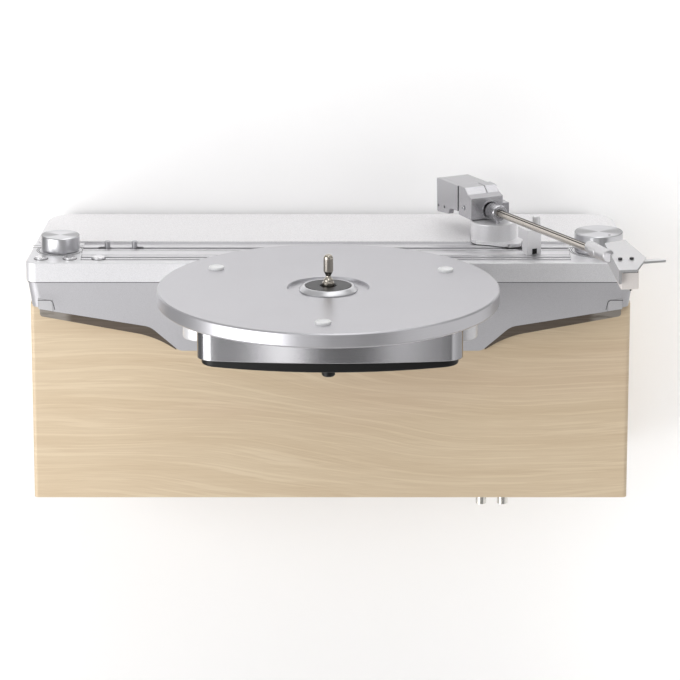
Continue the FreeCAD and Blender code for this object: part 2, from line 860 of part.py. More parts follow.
def across(x, low, high):
    """Chooses the short edges that run through the skirt's thickness at x, between two heights."""
    def chosen(edge):
        return near(edge, x=x) and short(edge, "shell_wall + past") and num(low) < edge.CenterOfMass.z < num(high)
    return chosen


dress(body, "Fillet", "skirt_bends", "skirt_bend_round",
      across("skirt_bend_x", "-(skirt_bend_drop + shell_wall)", "-(skirt_bend_drop - shell_wall)"))
dress(body, "Fillet", "skirt_feet", "skirt_foot_round",
      across("skirt_foot_x", "-(skirt_depth + shell_wall)", "-(skirt_depth - shell_wall)"))
COVER = [("cover_inner_x", skirt_edge("cover_inner_x")),
         ("cover_outer_x", skirt_edge("cover_outer_x")),
         ("cover_outer_x", "-cover_top_drop"),
         ("cover_inner_x", "-(cover_top_drop + cover_slant)")]
COVER_SEAT = [("cover_inner_x - face_gap", "%s - deck_wall" % skirt_edge("cover_inner_x")),
              ("cover_outer_x + face_gap", "%s - deck_wall" % skirt_edge("cover_outer_x")),
              ("cover_outer_x + face_gap", "-(cover_top_drop - face_gap)"),
              ("cover_inner_x - face_gap", "-(cover_top_drop + cover_slant - face_gap)")]
for side, sign in (("right", ""), ("left", "-")):
    raked("cover_seat_" + side, "Pocket", [("%s(%s)" % (sign, x), z) for x, z in COVER_SEAT], "cover_pocket")
pocket(body, "housing_gate",
       [rectangle("-(housing_half + face_gap)", "-(housing_drop + face_gap)",
                  "housing_half + face_gap", "-(band_height - past)")],
       "-past", "shell_step + shell_rake + shell_wall + 2 * past", plane="XZ_Plane")


BOSSES = [(sign, y) for y in ("boss_front_y", "boss_rear_y") for sign in ("-", "")]


def boss_spots(radius):
    """The four screw bosses, inside the cabinet's side boards at two depths."""
    return [("%s(boss_half - deck_taper * %s)" % (sign, y), y, radius) for sign, y in BOSSES]


pad(body, "bosses", boss_spots("boss_radius"), "tray_top", "-band_height")
webs = [rectangle("%s(boss_half - deck_taper * %s)" % (sign, y), "%s - boss_web / 2" % y,
                  "%s(shell_half - shell_wall / 2 - shell_draft - deck_taper * %s)" % (sign, y),
                  "%s + boss_web / 2" % y) for sign, y in BOSSES]
pad(body, "boss_webs", webs, "tray_top", "-band_height")
pocket(body, "boss_bores", boss_spots("deck_screw_radius"), "tray_top", "tray_top + deck_screw_bite")

# Corner covers, one each side, in their seats.
covers = []
for side, sign in (("right", ""), ("left", "-")):
    label = "corner_cover_" + side
    body = doc.addObject("PartDesign::Body", label)
    raked(label + "_plate", "Pad", [("%s(%s)" % (sign, x), z) for x, z in COVER], "cover_thick",
          "cover_pocket - cover_thick")
    covers.append(body)
group("corner_covers", covers)

# Strips that follow the skirt's lower edge.
TRIM = [("trim_outer_x", skirt_edge("trim_outer_x")),
        ("skirt_bend_x", "-skirt_bend_drop"),
        ("trim_inner_x", "-(skirt_bend_drop + (skirt_bend_x - trim_inner_x)"
                         " * (skirt_depth - skirt_bend_drop) / (skirt_bend_x - skirt_foot_x))"),
        ("trim_inner_x", "-(skirt_bend_drop + (skirt_bend_x - trim_inner_x)"
                         " * (skirt_depth - skirt_bend_drop) / (skirt_bend_x - skirt_foot_x) + trim_tip)"),
        ("trim_bend_x", "-(skirt_bend_drop + trim_bend_height)"),
        ("trim_outer_x", "%s - trim_height" % skirt_edge("trim_outer_x"))]
for side, sign in (("left", "-"), ("right", "")):
    label = "lower_trim_" + side
    body = new_body(label)
    raked(label + "_strip", "Pad", [("%s(%s)" % (sign, x), z) for x, z in TRIM],
          "shell_wall - trim_set_back", "trim_set_back")
    dress(body, "Fillet", label + "_bend", "skirt_bend_round",
          across("skirt_bend_x", "-(skirt_bend_drop + shell_wall)", "-(skirt_bend_drop - shell_wall)"))
    dress(body, "Fillet", label + "_end", "trim_round",
          across("trim_outer_x", "%s - trim_height - past" % skirt_edge("trim_outer_x"),
                 "%s - trim_height / 2" % skirt_edge("trim_outer_x")))

# Ribbed strip: its profile runs across, from the front groove to the land before the rear channel.
body = new_body("ribbed_strip")
first_land = "strip_front + groove_width"
second_groove = first_land + " + land_width"
second_land = second_groove + " + wide_groove"
RIBS = [("strip_front + face_gap", "strip_low"), ("strip_back - face_gap", "strip_low"),
        ("strip_back - face_gap", "0"), ("crest_back + back_groove", "0"),
        ("crest_back + back_groove", "-groove_depth"), ("crest_back", "-groove_depth"),
        ("crest_back", "-crest_edge_drop", "crest_front + crest_half", "crest_height", "crest_radius"),
        ("crest_front", "-crest_edge_drop"), ("crest_front", "0"), (second_land, "0"),
        (second_land, "-groove_depth"), (second_groove, "-groove_depth"), (second_groove, "0"),
        (first_land, "0"), (first_land, "-groove_depth"), ("strip_front + face_gap", "-groove_depth")]
pad(body, "ribs", [RIBS], "-(strip_left - face_gap)", "strip_right - face_gap", plane="YZ_Plane")
holes = [(x, "button_y", "button_radius + button_gap") for label, x in BUTTONS[2:]]
for label, x, low, high in POSTS:
    holes.append(slot("%s + (%s)" % (x, low), "%s + (%s)" % (x, high), "post_y", "post_radius + face_gap"))
strip_through = ("strip_low - past", "crest_height + past")
pocket(body, "strip_openings", holes, *strip_through)
pocket(body, "strip_pedestal_notch", [pedestal_outline("face_gap")], *strip_through)
pocket(body, "strip_flange_notch", [flange_outline("face_gap")], *strip_through)
pocket(body, "strip_rest_notch", [rest_outline("face_gap")], *strip_through, shift=("pivot_x", "pivot_y"),
       turn="-rest_yaw")

# Rear top plate, notched round the pedestal.
body = new_body("rear_top_plate")
pad(body, "rear_plate",
    [deck_outline("deck_front_half", "plate_front", "deck_depth - plate_margin", "plate_margin")],
    "0", "plate_thick")
dress(body, "Fillet", "rear_plate_corners", "rear_corner - plate_margin",
      lambda edge: upright(edge) and near(edge, y="deck_depth - plate_margin"))
pocket(body, "plate_pedestal_notch", [pedestal_outline("face_gap")], "-past", "plate_thick + past")
pocket(body, "plate_flange_notch", [flange_outline("face_gap")], "-past", "plate_thick + past")

# Cabinet boards. The sides follow the deck's taper behind the front board.
board_y = "cabinet_front_y + front_board"
body = new_body("cabinet_front")
pad(body, "front_panel", [rectangle("-cabinet_half", "cabinet_front_y", "cabinet_half", board_y)],
    "-cabinet_drop", "-shell_depth")
dress(body, "Fillet", "front_panel_edges", "board_round",
      lambda edge: upright(edge) and near(edge, y="cabinet_front_y"))


def cabinet_side(y, inset="0"):
    return "cabinet_half - (%s) - deck_taper * (%s)" % (inset, y)


for side, sign in (("left", "-"), ("right", "")):
    body = new_body("cabinet_%s_side" % side)
    plan = [(cabinet_side(board_y), board_y), (cabinet_side("cabinet_back_y"), "cabinet_back_y"),
            (cabinet_side("cabinet_back_y", "side_board"), "cabinet_back_y"),
            (cabinet_side(board_y, "side_board"), board_y)]
    pad(body, side + "_panel", [[("%s(%s)" % (sign, x), y) for x, y in plan]], "-cabinet_drop", "-shell_depth")
back_far = "back_board_y + back_board"
body = new_body("cabinet_bottom")
pad(body, "bottom_panel",
    [[("-(%s)" % cabinet_side(board_y, "side_board"), board_y),
      (cabinet_side(board_y, "side_board"), board_y),
      (cabinet_side(back_far, "side_board"), back_far),
      ("-(%s)" % cabinet_side(back_far, "side_board"), back_far)]],
    "-cabinet_drop", "bottom_top")
jack_holes = [("jack_first_x + %d * jack_pitch" % number, "jack_y", "jack_shank + face_gap") for number in (0, 1)]
pocket(body, "socket_holes", jack_holes + [("inlet_x", "inlet_y", "inlet_radius + face_gap")],
       "-(cabinet_drop + past)", "bottom_top")
body = new_body("cabinet_back")
pad(body, "back_panel",
    [[("-(%s)" % cabinet_side("back_board_y", "side_board"), "back_board_y"),
      (cabinet_side("back_board_y", "side_board"), "back_board_y"),
      (cabinet_side(back_far, "side_board"), back_far),
      ("-(%s)" % cabinet_side(back_far, "side_board"), back_far)]],
    "bottom_top", "-shell_depth")

# Sheet-metal tray between the cabinet and the lower shell.
body = new_body("chassis_tray")
pad(body, "tray", [deck_outline("tray_half", "tray_front", "deck_depth - shell_wall - 2 * face_gap",
                                corner="rear_corner - shell_wall")],
    "-shell_depth", "tray_top")
pocket(body, "tray_screw_holes", boss_spots("deck_screw_radius + face_gap"), "-(shell_depth + past)", "tray_top")

# Wall plate with its hooked upper edge, and the rail on the cabinet's back that hangs on it.
plate_front = "wall_y - wall_plate_thick"
plate_high = "-mount_drop + wall_plate_height / 2"
hook_front = plate_front + " - hook_reach"
body = new_body("wall_plate")
pad(body, "wall_sheet",
    [[(plate_front, "-mount_drop - wall_plate_height / 2"), ("wall_y", "-mount_drop - wall_plate_height / 2"),
      ("wall_y", plate_high), (hook_front + " + hook_thick", plate_high),
      (hook_front + " + hook_thick", plate_high + " + hook_height - hook_thick"),
      (hook_front, plate_high + " + hook_height - hook_thick"), (hook_front, plate_high + " - hook_thick"),
      (plate_front, plate_high + " - hook_thick")]],
    "-wall_plate_width / 2", "wall_plate_width / 2", plane="YZ_Plane")
wall_holes = [("%s * wall_hole_span_x / 2" % sx, "-mount_drop + %s * wall_hole_span_z / 2" % sz,
               "wall_hole_radius") for sx in (-1, 1) for sz in (-1, 1)]
pocket(body, "wall_screw_holes", wall_holes, plate_front + " - past", "wall_y + past", plane="XZ_Plane")
rail_low = plate_high + " + hook_height - hook_thick"
rail_lip = hook_front + " + hook_thick + face_gap"
body = new_body("hanger_rail")
pad(body, "rail",
    [[(back_far, rail_low + " - rail_leg"), (back_far + " + rail_thick", rail_low + " - rail_leg"),
      (back_far + " + rail_thick", rail_low), (rail_lip, rail_low), (rail_lip, plate_high + " + face_gap"),
      (rail_lip + " + rail_thick", plate_high + " + face_gap"),
      (rail_lip + " + rail_thick", rail_low + " + rail_thick"), (back_far, rail_low + " + rail_thick")]],
    "-rail_length / 2", "rail_length / 2", plane="YZ_Plane")

# Platter housing: a wide block that runs into the deck, and a deeper bowed nose with a dark base.
NOSE = [("-nose_half", "-nose_front", "0", "-(nose_front + nose_bow)", "nose_radius"), ("nose_half", "-nose_front"),
        ("nose_half", "nose_back"), ("-nose_half", "nose_back")]
body = new_body("platter_housing")
pad(body, "nose", [NOSE], "-nose_drop", "housing_top")
dress(body, "Fillet", "nose_corners", "nose_corner", lambda edge: upright(edge) and near(edge, y="-nose_front"))
pad(body, "wide_block", [rectangle("-housing_half", "-housing_front", "housing_half", "housing_back")],
    "-housing_drop", "housing_top")
dress(body, "Fillet", "wide_corners", "housing_corner",
      lambda edge: upright(edge) and near(edge, x="housing_half", y="-housing_front"))
pocket(body, "nose_hollow",
       [[("-hollow_half", "-(nose_front - housing_wall)", "0", "-(nose_front + nose_bow - housing_wall)",
          "hollow_radius"), ("hollow_half", "-(nose_front - housing_wall)"),
         ("hollow_half", "nose_back - housing_wall"), ("-hollow_half", "nose_back - housing_wall")]],
       "-(nose_drop + past)", "housing_top - housing_wall")
shoulder = "housing_half - housing_wall"
pocket(body, "wide_hollow",
       [rectangle("-(%s)" % shoulder, "-(housing_front - housing_wall)", shoulder, "housing_back + past")],
       "-(housing_drop - housing_wall)", "housing_top - housing_wall")
pocket(body, "housing_holes", [("-platter_x", "-platter_y", "bearing_radius"),
                               ("-motor_x", "-motor_y", "pulley_hole")],
       "housing_top - 2 * housing_wall", "housing_top + past")

body = new_body("housing_base")
pad(body, "base_profile",
    [[("-nose_half", "-nose_drop"), ("-nose_half", "-base_end_drop", "0", "-base_middle_drop", "crown_radius"),
      ("nose_half", "-base_end_drop"), ("nose_half", "-nose_drop")]],
    "-(nose_front + nose_bow)", "nose_back", plane="XZ_Plane")
pocket(body, "base_bow",
       [[("nose_half", "-nose_front", "0", "-(nose_front + nose_bow)", "nose_radius"),
         ("-nose_half", "-nose_front"), ("-(nose_half + past)", "-nose_front"),
         ("-(nose_half + past)", "-(nose_front + nose_bow + past)"),
         ("nose_half + past", "-(nose_front + nose_bow + past)"), ("nose_half + past", "-nose_front")]],
       "-(base_middle_drop + past)", "-nose_drop + past")
pocket(body, "base_screw_hole", [("-platter_x", "-platter_y", "screw_radius + face_gap")],
       "-(base_middle_drop + past)", "-nose_drop + past")

# Bearing under the platter: flanged tube, bush and thrust screw.
turned("bearing_housing", "-platter_x", "-platter_y",
       [("bush_radius", "housing_top"), ("bush_radius", "bearing_pit"), ("screw_radius", "bearing_pit"),
        ("screw_radius", "bearing_end"), ("bearing_radius", "bearing_end"),
        ("bearing_radius", "housing_top - housing_wall - bearing_flange_thick"),
        ("bearing_flange", "housing_top - housing_wall - bearing_flange_thick"),
        ("bearing_flange", "housing_top - housing_wall"), ("bearing_radius", "housing_top - housing_wall"),
        ("bearing_radius", "housing_top")])
turned("bearing_bush", "-platter_x", "-platter_y",
       rectangle("shaft_radius + running_gap", "shaft_end", "bush_radius", "housing_top"))
turned("thrust_screw", "-platter_x", "-platter_y",
       [("0", "shaft_end - running_gap"), ("screw_radius", "bearing_pit"),
        ("screw_radius", "-(base_middle_drop + running_gap)"),
        ("screw_head_radius", "-(base_middle_drop + running_gap)"),
        ("screw_head_radius", "-(base_middle_drop + screw_head - screw_head_edge)"),
        ("screw_head_radius - screw_head_edge", "-(base_middle_drop + screw_head)"),
        ("0", "-(base_middle_drop + screw_head)")])

# Motor, and the pulley, sub-platter and belt that run in the hollow under the platter.
turned("motor", "-motor_x", "-motor_y",
       [("motor_shaft + running_gap", "housing_top - housing_wall - motor_height"),
        ("motor_radius", "housing_top - housing_wall - motor_height"),
        ("motor_radius", "housing_top - housing_wall"),
        ("motor_shaft + running_gap", "housing_top - housing_wall")])
turned("motor_pulley", "-motor_x", "-motor_y",
       [("0", "housing_top - housing_wall - motor_height / 2"),
        ("motor_shaft", "housing_top - housing_wall - motor_height / 2"),
        ("motor_shaft", "sub_platter_low"), ("pulley_radius", "sub_platter_low"),
        ("pulley_radius", "web_low - face_gap"), ("0", "web_low - face_gap")])
turned("sub_platter", "-platter_x", "-platter_y",
       rectangle("shaft_radius", "sub_platter_low", "sub_platter_radius", "web_low"))
belt_angle = "atan2(platter_y - motor_y; platter_x - motor_x)"
body = new_body("drive_belt", "-platter_x", "-platter_y", "0", belt_angle + "; 0; 0")


def belt_loop(large, small):
    """The loop round both rims, drawn along the line between their centres."""
    return [("%s * belt_cos" % large, "%s * belt_sin" % large, "-(%s)" % large, "0", large),
            ("%s * belt_cos" % large, "-(%s * belt_sin)" % large),
            ("belt_run + %s * belt_cos" % small, "-(%s * belt_sin)" % small,
             "belt_run + %s" % small, "0", small),
            ("belt_run + %s * belt_cos" % small, "%s * belt_sin" % small)]


pad(body, "belt", [belt_loop("belt_outer", "pulley_outer"), belt_loop("belt_inner", "pulley_inner")],
    "belt_low", "belt_low + belt_height")

# Platter with its rim, label recess and three pads, and the hub on it.
body = turned("platter", "-platter_x", "-platter_y",
              [("shaft_radius", "web_low"), ("rim_inner", "web_low"),
               ("rim_inner", "platter_bottom"), ("platter_radius - platter_chamfer", "platter_bottom"),
               ("platter_radius", "platter_bottom + platter_chamfer"),
               ("platter_radius", "platter_top - platter_chamfer"),
               ("platter_radius - platter_chamfer", "platter_top"), ("label_radius", "platter_top"),
               ("label_radius", "label_floor"), ("shaft_radius", "label_floor")])
pad_spots = [("pad_circle * cos(pad_angle + %d)" % turn, "pad_circle * sin(pad_angle + %d)" % turn, "pad_radius")
             for turn in (0, 120, 240)]
pocket(body, "pad_seats", pad_spots, "platter_top - pad_seat", "platter_top + past")
pads = [cylinder("record_pad_%d" % (number + 1), "pad_radius", "pad_seat + pad_height", x, y,
                 "platter_top - pad_seat") for number, (x, y, radius) in enumerate(pad_spots)]
group("platter_pads", pads, "-platter_x", "-platter_y")
turned("hub_ring", "-platter_x", "-platter_y",
       [("hub_bore", "label_floor"), ("hub_radius", "label_floor"), ("hub_radius", "label_floor + hub_lip"),
        ("hub_top_radius", "hub_top"), ("disc_radius + running_gap", "hub_top"),
        ("disc_radius + running_gap", "hub_top - disc_thick"), ("hub_bore", "hub_top - disc_thick")])
turned("hub_disc", "-platter_x", "-platter_y",
       rectangle("hub_bore", "hub_top - disc_thick", "disc_radius", "hub_top"))
turned("spindle", "-platter_x", "-platter_y",
       [("0", "shaft_end"), ("shaft_radius", "shaft_end"), ("shaft_radius", "label_floor"),
        ("spindle_radius", "label_floor"), ("spindle_radius", "spindle_seat_top"),
        ("spindle_neck", "spindle_neck_z"), ("spindle_bulb", "spindle_bulb_z"),
        ("spindle_bulb", "spindle_shoulder_z"), ("spindle_neck", "spindle_top"), ("0", "spindle_top")])

# Knobs on their shafts, with the controls that carry them under the deck.
controls = []
for side, x, y in KNOBS:
    height = "knob_rise + %s_knob_height" % side
    radius = "%s_knob_radius" % side
    seat = height + " - knob_cap"
    turned(side + "_knob", x, y,
           [("knob_shaft", "knob_rise"), (radius, "knob_rise"), (radius, height + " - knob_chamfer"),
            (radius + " - knob_chamfer", height), ("0", height), ("0", seat), ("knob_shaft", seat)])
    turned(side + "_shaft", x, y, rectangle("0", "control_low + face_gap", "knob_shaft", seat))
    case = cylinder(side + "_control_case", "control_radius", "control_height", x, y, "control_low")
    bore = cylinder(side + "_control_bore", "knob_shaft + running_gap", "control_height + 2 * past", x, y,
                    "control_low - past")
    controls.append(cut(side + "_control", case, bore))
group("knob_controls", controls)

# Push buttons with their stems, and the slide posts with their feet.
for label, x in BUTTONS:
    turned(label, x, "button_y",
           [("0", "stem_end"), ("button_stem", "stem_end"), ("button_stem", "-deck_plate"),
            ("button_radius", "-deck_plate"), ("button_radius", "button_rise"), ("0", "button_rise")])
for label, x, low, high in POSTS:
    turned(label, x, "post_y",
           [("0", "-(deck_plate + face_gap + post_foot_thick)"),
            ("post_foot", "-(deck_plate + face_gap + post_foot_thick)"), ("post_foot", "-(deck_plate + face_gap)"),
            ("post_radius", "-(deck_plate + face_gap)"), ("post_radius", "post_rise"), ("0", "post_rise")])

# Control board on four posts that stand on the tray.
body = new_body("control_board")
pad(body, "board", [rectangle("-board_left", "board_front", "-board_right", "board_back")],
    "board_top - board_thick", "board_top")
corner_posts = [("-(board_left - board_post_inset)", "board_back - board_post_inset", "board_post"),
                ("-(board_right + board_post_inset)", "board_back - board_post_inset", "board_post"),
                ("-(board_right + board_post_inset)", "board_front + board_post_inset", "board_post")]
pad(body, "board_posts", corner_posts, "tray_top", "board_top")

# Phono board, supply, output jacks and inlet on the cabinet's bottom.
body = new_body("phono_board")
pad(body, "phono_sheet", [rectangle("phono_left", "phono_front", "phono_right", "phono_back")],
    "bottom_top + phono_rise", "phono_top")
phono_posts = [(x, y, "board_post") for x in ("phono_left + board_post_inset", "phono_right - board_post_inset")
               for y in ("phono_front + board_post_inset", "phono_back - board_post_inset")]
pad(body, "phono_posts", phono_posts, "bottom_top", "phono_top")
pocket(body, "phono_socket_holes",
       [("inlet_x", "inlet_y", "inlet_flange + face_gap")]
       + jack_holes, "bottom_top", "phono_top + past")
body = new_body("power_supply")
pad(body, "supply_box", [rectangle("-supply_half", "supply_front", "supply_half", "supply_back")],
    "bottom_top", "bottom_top + supply_height")
jacks = []
for number in (0, 1):
    name = "jack_%d" % (number + 1)
    x = "jack_first_x + %d * jack_pitch" % number
    barrel = cylinder(name + "_barrel", "jack_radius", "jack_length", x, "jack_y", "-(cabinet_drop + jack_length)")
    flange = cylinder(name + "_flange", "jack_flange", "jack_flange_thick", x, "jack_y",
                      "-(cabinet_drop + jack_flange_thick)")
    shank = cylinder(name + "_shank", "jack_shank", "bottom_board + phono_rise + board_thick", x, "jack_y",
                     "-cabinet_drop")
    bore = cylinder(name + "_bore", "jack_bore", "jack_length", x, "jack_y", "-(cabinet_drop + jack_length + past)")
    jacks.append(cut(name, fused(name + "_solid", [barrel, flange, shank]), bore))
group("rca_jacks", jacks)
body = turned("dc_inlet", "inlet_x", "inlet_y",
              [("0", "-cabinet_drop + inlet_depth"), ("inlet_bore", "-cabinet_drop + inlet_depth"),
               ("inlet_bore", "-(cabinet_drop + jack_flange_thick)"),
               ("inlet_flange", "-(cabinet_drop + jack_flange_thick)"), ("inlet_flange", "-cabinet_drop"),
               ("inlet_radius", "-cabinet_drop"), ("inlet_radius", "-cabinet_drop + inlet_length"),
               ("0", "-cabinet_drop + inlet_length")])
pad(body, "inlet_contact", [("0", "0", "inlet_pin")], "-cabinet_drop", "-cabinet_drop + inlet_depth + past")

# Deck screws, up through the tray into the bosses.
screws = []
for number, (x, y, radius) in enumerate(boss_spots("0"), start=1):
    name = "deck_screw_%d" % number
    shank = cylinder(name + "_shank", "deck_screw_radius - running_gap", "deck_screw_bite + tray_thick - face_gap",
                     x, y, "-shell_depth")
    head = cylinder(name + "_head", "deck_screw_head", "tray_thick", x, y, "-(shell_depth + tray_thick)")
    screws.append(fused(name, [shank, head]))
group("deck_screws", screws)

# Arm pedestal with its flange, one casting.
body = new_body("arm_pedestal")
pad(body, "pedestal", [pedestal_outline()], "0", "pedestal_height")
dress(body, "Fillet", "pedestal_front_round", "pedestal_round",
      lambda edge: upright(edge) and near(edge, x="pivot_x + pedestal_tip_right", y="pivot_y - pedestal_tip"))
pad(body, "flange", [flange_outline()], "0", "flange_thick")
pocket(body, "pedestal_bore", [("pivot_x", "pivot_y", "yaw_bush_radius")], "-past", "pedestal_height + past")
turned("yaw_bush", "pivot_x", "pivot_y",
       rectangle("yaw_shaft_radius + running_gap", "-(yaw_shaft_depth - yaw_bush_short)", "yaw_bush_radius",
                 "pedestal_height"))

# Arm rest, square to the parked arm: box, finger under the tube, outer stop and rear post.
arm_turn = "-rest_yaw; 0; 0"
body = new_body("arm_rest", "pivot_x", "pivot_y", "0", arm_turn)
pad(body, "rest_box", [rest_outline()], "0", "rest_height")
pad(body, "rest_finger", [rectangle("finger_near", "-finger_inner", "finger_far", "rest_inner + 2 * stop_thick")],
    "rest_height - finger_thick", "finger_top")
pad(body, "rest_stop", [rectangle("finger_near", "tube_radius + face_gap", "finger_far",
                                  "tube_radius + face_gap + stop_thick")], "rest_height", "stop_top")
pad(body, "rest_post", [rectangle("rest_near", "tube_radius + face_gap + stop_thick", "rest_near + post_width",
                                  "post_outer")], "rest_height", "post_top")
pocket(body, "rest_notch", [rectangle("rest_far - notch_depth", "(rest_inner + rest_outer - notch_width) / 2",
                                      "rest_far + past", "(rest_inner + rest_outer + notch_width) / 2")],
       "rest_height - notch_height", "rest_height + past")

# Pivot housing: a block with a tunnel for the arm's own block, on an upright shaft.
body = new_body("pivot_housing", "pivot_x", "pivot_y", "0", arm_turn)
pad(body, "yoke",
    [[("-yoke_rear", "yoke_bottom"), ("yoke_front", "yoke_bottom"), ("yoke_front", "yoke_face_top"),
      ("yoke_bevel_at", "yoke_bevel_z"), ("yoke_brow_at", "yoke_top"), ("-yoke_rear", "yoke_top")]],
    "-yoke_left", "yoke_right", plane="XZ_Plane")
pocket(body, "yoke_step",
       [rectangle("-(yoke_rear + past)", "yoke_top_right", "yoke_front + past", "yoke_right + past")],
       "yoke_step_z", "yoke_top + past")
pocket(body, "tunnel", [rectangle("-tunnel_half", "tunnel_floor", "tunnel_half", "tunnel_top")],
       "-(yoke_rear + past)", "yoke_front + past", plane="YZ_Plane")
pocket(body, "pin_bore", [("0", "axis_rise", "pin_radius + running_gap")],
       "-(yoke_left + past)", "yoke_right - pin_cover", plane="XZ_Plane")
turned("yaw_shaft", "pivot_x", "pivot_y",
       [("0", "-yaw_shaft_depth"), ("yaw_shaft_radius", "-yaw_shaft_depth"),
        ("yaw_shaft_radius", "yoke_bottom - yaw_flange_thick"), ("yaw_flange", "yoke_bottom - yaw_flange_thick"),
        ("yaw_flange", "yoke_bottom"), ("0", "yoke_bottom")])

# The tilting arm, drawn along its tube with the cross pin's axis as its own y axis.
tilt_turn = "-rest_yaw; -rest_pitch; 0"


def arm_body(label):
    return new_body(label, "pivot_x", "pivot_y", "axis_rise", tilt_turn)


def arm_rod(label, radius, start, end):
    body = arm_body(label)
    pad(body, label + "_rod", [("0", "0", radius)], start, end, plane="YZ_Plane")
    return body


body = arm_body("pitch_pin")
pad(body, "pin", [("0", "0", "pin_radius")], "-(yoke_left + face_gap)", "yoke_right - pin_cover - pin_end_gap",
    plane="XZ_Plane")
body = arm_rod("arm_pivot_block", "block_radius", "-weight_front", "collar_start")
pocket(body, "block_pin_bore", [("0", "0", "pin_radius")], "-(block_radius + past)", "block_radius + past",
       plane="XZ_Plane")
body = arm_rod("arm_collar", "collar_radius", "collar_start", "collar_end")
dress(body, "Chamfer", "collar_edges", "knob_chamfer", lambda edge: edge.BoundBox.XLength < 1e-6)
arm_rod("arm_tube", "tube_radius", "collar_end", "collet_start")

body = arm_body("counterweight")
WEIGHT = rectangle("-weight_rear", "-weight_bottom", "-weight_front", "weight_top")
pad(body, "weight_block", [WEIGHT], "-weight_left", "weight_right", plane="XZ_Plane")
pad(body, "weight_cheek", [rectangle("-(weight_front + past)", "-weight_bottom", "cheek_front", "weight_top")],
    "-weight_left", "-(weight_left - cheek_thick)", plane="XZ_Plane")
pocket(body, "cheek_arch", [("-arch_at", "-weight_bottom", "arch_radius")], "-(weight_left + past)",
       "-(weight_left - cheek_thick)", plane="XZ_Plane")
core_x = "-(weight_rear + weight_front) / 2"
core_z = "(weight_top - weight_bottom) / 2"
pocket(body, "weight_hollow", [(core_x, core_z, "weight_core")], "-(weight_left - cheek_thick)",
       "weight_right - core_cover", plane="XZ_Plane")
body = arm_body("counterweight_core")
pad(body, "core", [(core_x, core_z, "weight_core")], "-(weight_left - cheek_thick)",
    "weight_right - core_cover", plane="XZ_Plane")

# Headshell: plate, left wall, collet and finger lift. It is drawn in its own direction, turned inwards
# from the tube by the offset angle.
HEAD = {"shift": ("head_at", "0"), "turn": "-head_offset"}
body = arm_body("headshell")
pad(body, "collet", [("0", "0", "collet_radius")], "collet_start", "head_at", plane="YZ_Plane")
pad(body, "head_plate",
    [[("-head_rear_left", "head_left"), ("head_front", "head_left"), ("head_front", "head_front_right"),
      ("head_waist", "head_waist_right"), ("head_wide", "head_wide_right"), ("-head_rear", "head_rear_right")]],
    "head_low", "head_top", **HEAD)
pad(body, "head_side", [rectangle("-head_rear_left", "head_left", "head_front", "head_left + head_wall")],
    "-head_wall_height", "head_top", **HEAD)
pad(body, "finger_lift",
    [[("lift_at - lift_root / 2", "head_rear_right"), ("lift_at + lift_root / 2", "head_rear_right"),
      ("lift_at + lift_tip / 2", "lift_end"), ("lift_at - lift_tip / 2", "lift_end")]],
    "head_low", "head_low + lift_thick", **HEAD)
body = arm_body("cartridge")
pad(body, "cartridge_block",
    [[("cartridge_rear", "cartridge_left"), ("cartridge_front", "cartridge_left"),
      ("cartridge_front", "cartridge_right"), ("cartridge_rear", "cartridge_right")]],
    "cartridge_low", "head_low", **HEAD)
body = arm_body("stylus")
pad(body, "stylus_holder",
    [rectangle("stylus_at - stylus_length", "screw_middle - stylus_width / 2", "stylus_at + past",
               "screw_middle + stylus_width / 2")],
    "cartridge_low - stylus_drop", "cartridge_low", **HEAD)
body = arm_body("headshell_screws")
screw_spots = [("head_screw_at", "screw_middle %s head_screw_pitch / 2" % sign, "head_screw_radius")
               for sign in ("-", "+")]
body.AllowCompound = True
pad(body, "screw_heads", screw_spots, "head_top", "head_top + head_screw_rise", **HEAD)

doc.recompute()

# Every object has built and every node is a valid shape before anything is written.
broken = [item.Label for item in doc.Objects if "Invalid" in item.State or "Error" in item.State]
for item in NODES:
    if item.Shape.isNull() or not item.Shape.isValid():
        broken.append(item.Label)
if broken:
    raise ValueError("not built: " + ", ".join(broken))
os.makedirs("parts", exist_ok=True)
for item in NODES:
    item.Shape.exportStep("parts/%s.step" % item.Label)
    print("%-22s solids %d  volume %.0f" % (item.Label, len(item.Shape.Solids), item.Shape.Volume))
print(len(NODES), "nodes")
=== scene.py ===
# %% [markdown]
# A wall-hung turntable. The measured model comes in as fixed solids: a silver deck with a raked skirt,
# a maple cabinet under it, a platter that stands far out in front, and a tonearm at the right. Here each
# surface gets its finish, and the turned and cast pieces are made again with soft edges, because a sharp
# edge never catches the light the way a real one does.

import json
import math

import bmesh
import bpy
from mathutils import Matrix, Vector


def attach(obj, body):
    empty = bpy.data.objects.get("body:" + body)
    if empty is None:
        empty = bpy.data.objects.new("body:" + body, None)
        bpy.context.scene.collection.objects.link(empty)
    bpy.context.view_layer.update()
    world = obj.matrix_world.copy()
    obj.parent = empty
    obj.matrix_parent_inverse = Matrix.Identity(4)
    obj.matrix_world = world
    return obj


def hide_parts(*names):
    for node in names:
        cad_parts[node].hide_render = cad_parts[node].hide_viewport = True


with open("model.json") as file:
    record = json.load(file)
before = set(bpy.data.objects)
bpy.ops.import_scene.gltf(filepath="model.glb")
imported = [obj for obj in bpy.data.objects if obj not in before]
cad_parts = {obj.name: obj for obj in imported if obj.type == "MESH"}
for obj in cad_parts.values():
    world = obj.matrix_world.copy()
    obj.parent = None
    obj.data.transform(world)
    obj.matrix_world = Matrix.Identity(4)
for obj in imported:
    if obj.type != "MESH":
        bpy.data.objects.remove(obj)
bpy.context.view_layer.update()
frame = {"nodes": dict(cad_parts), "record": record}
nodes = frame["nodes"]
print("solids:", len(nodes))

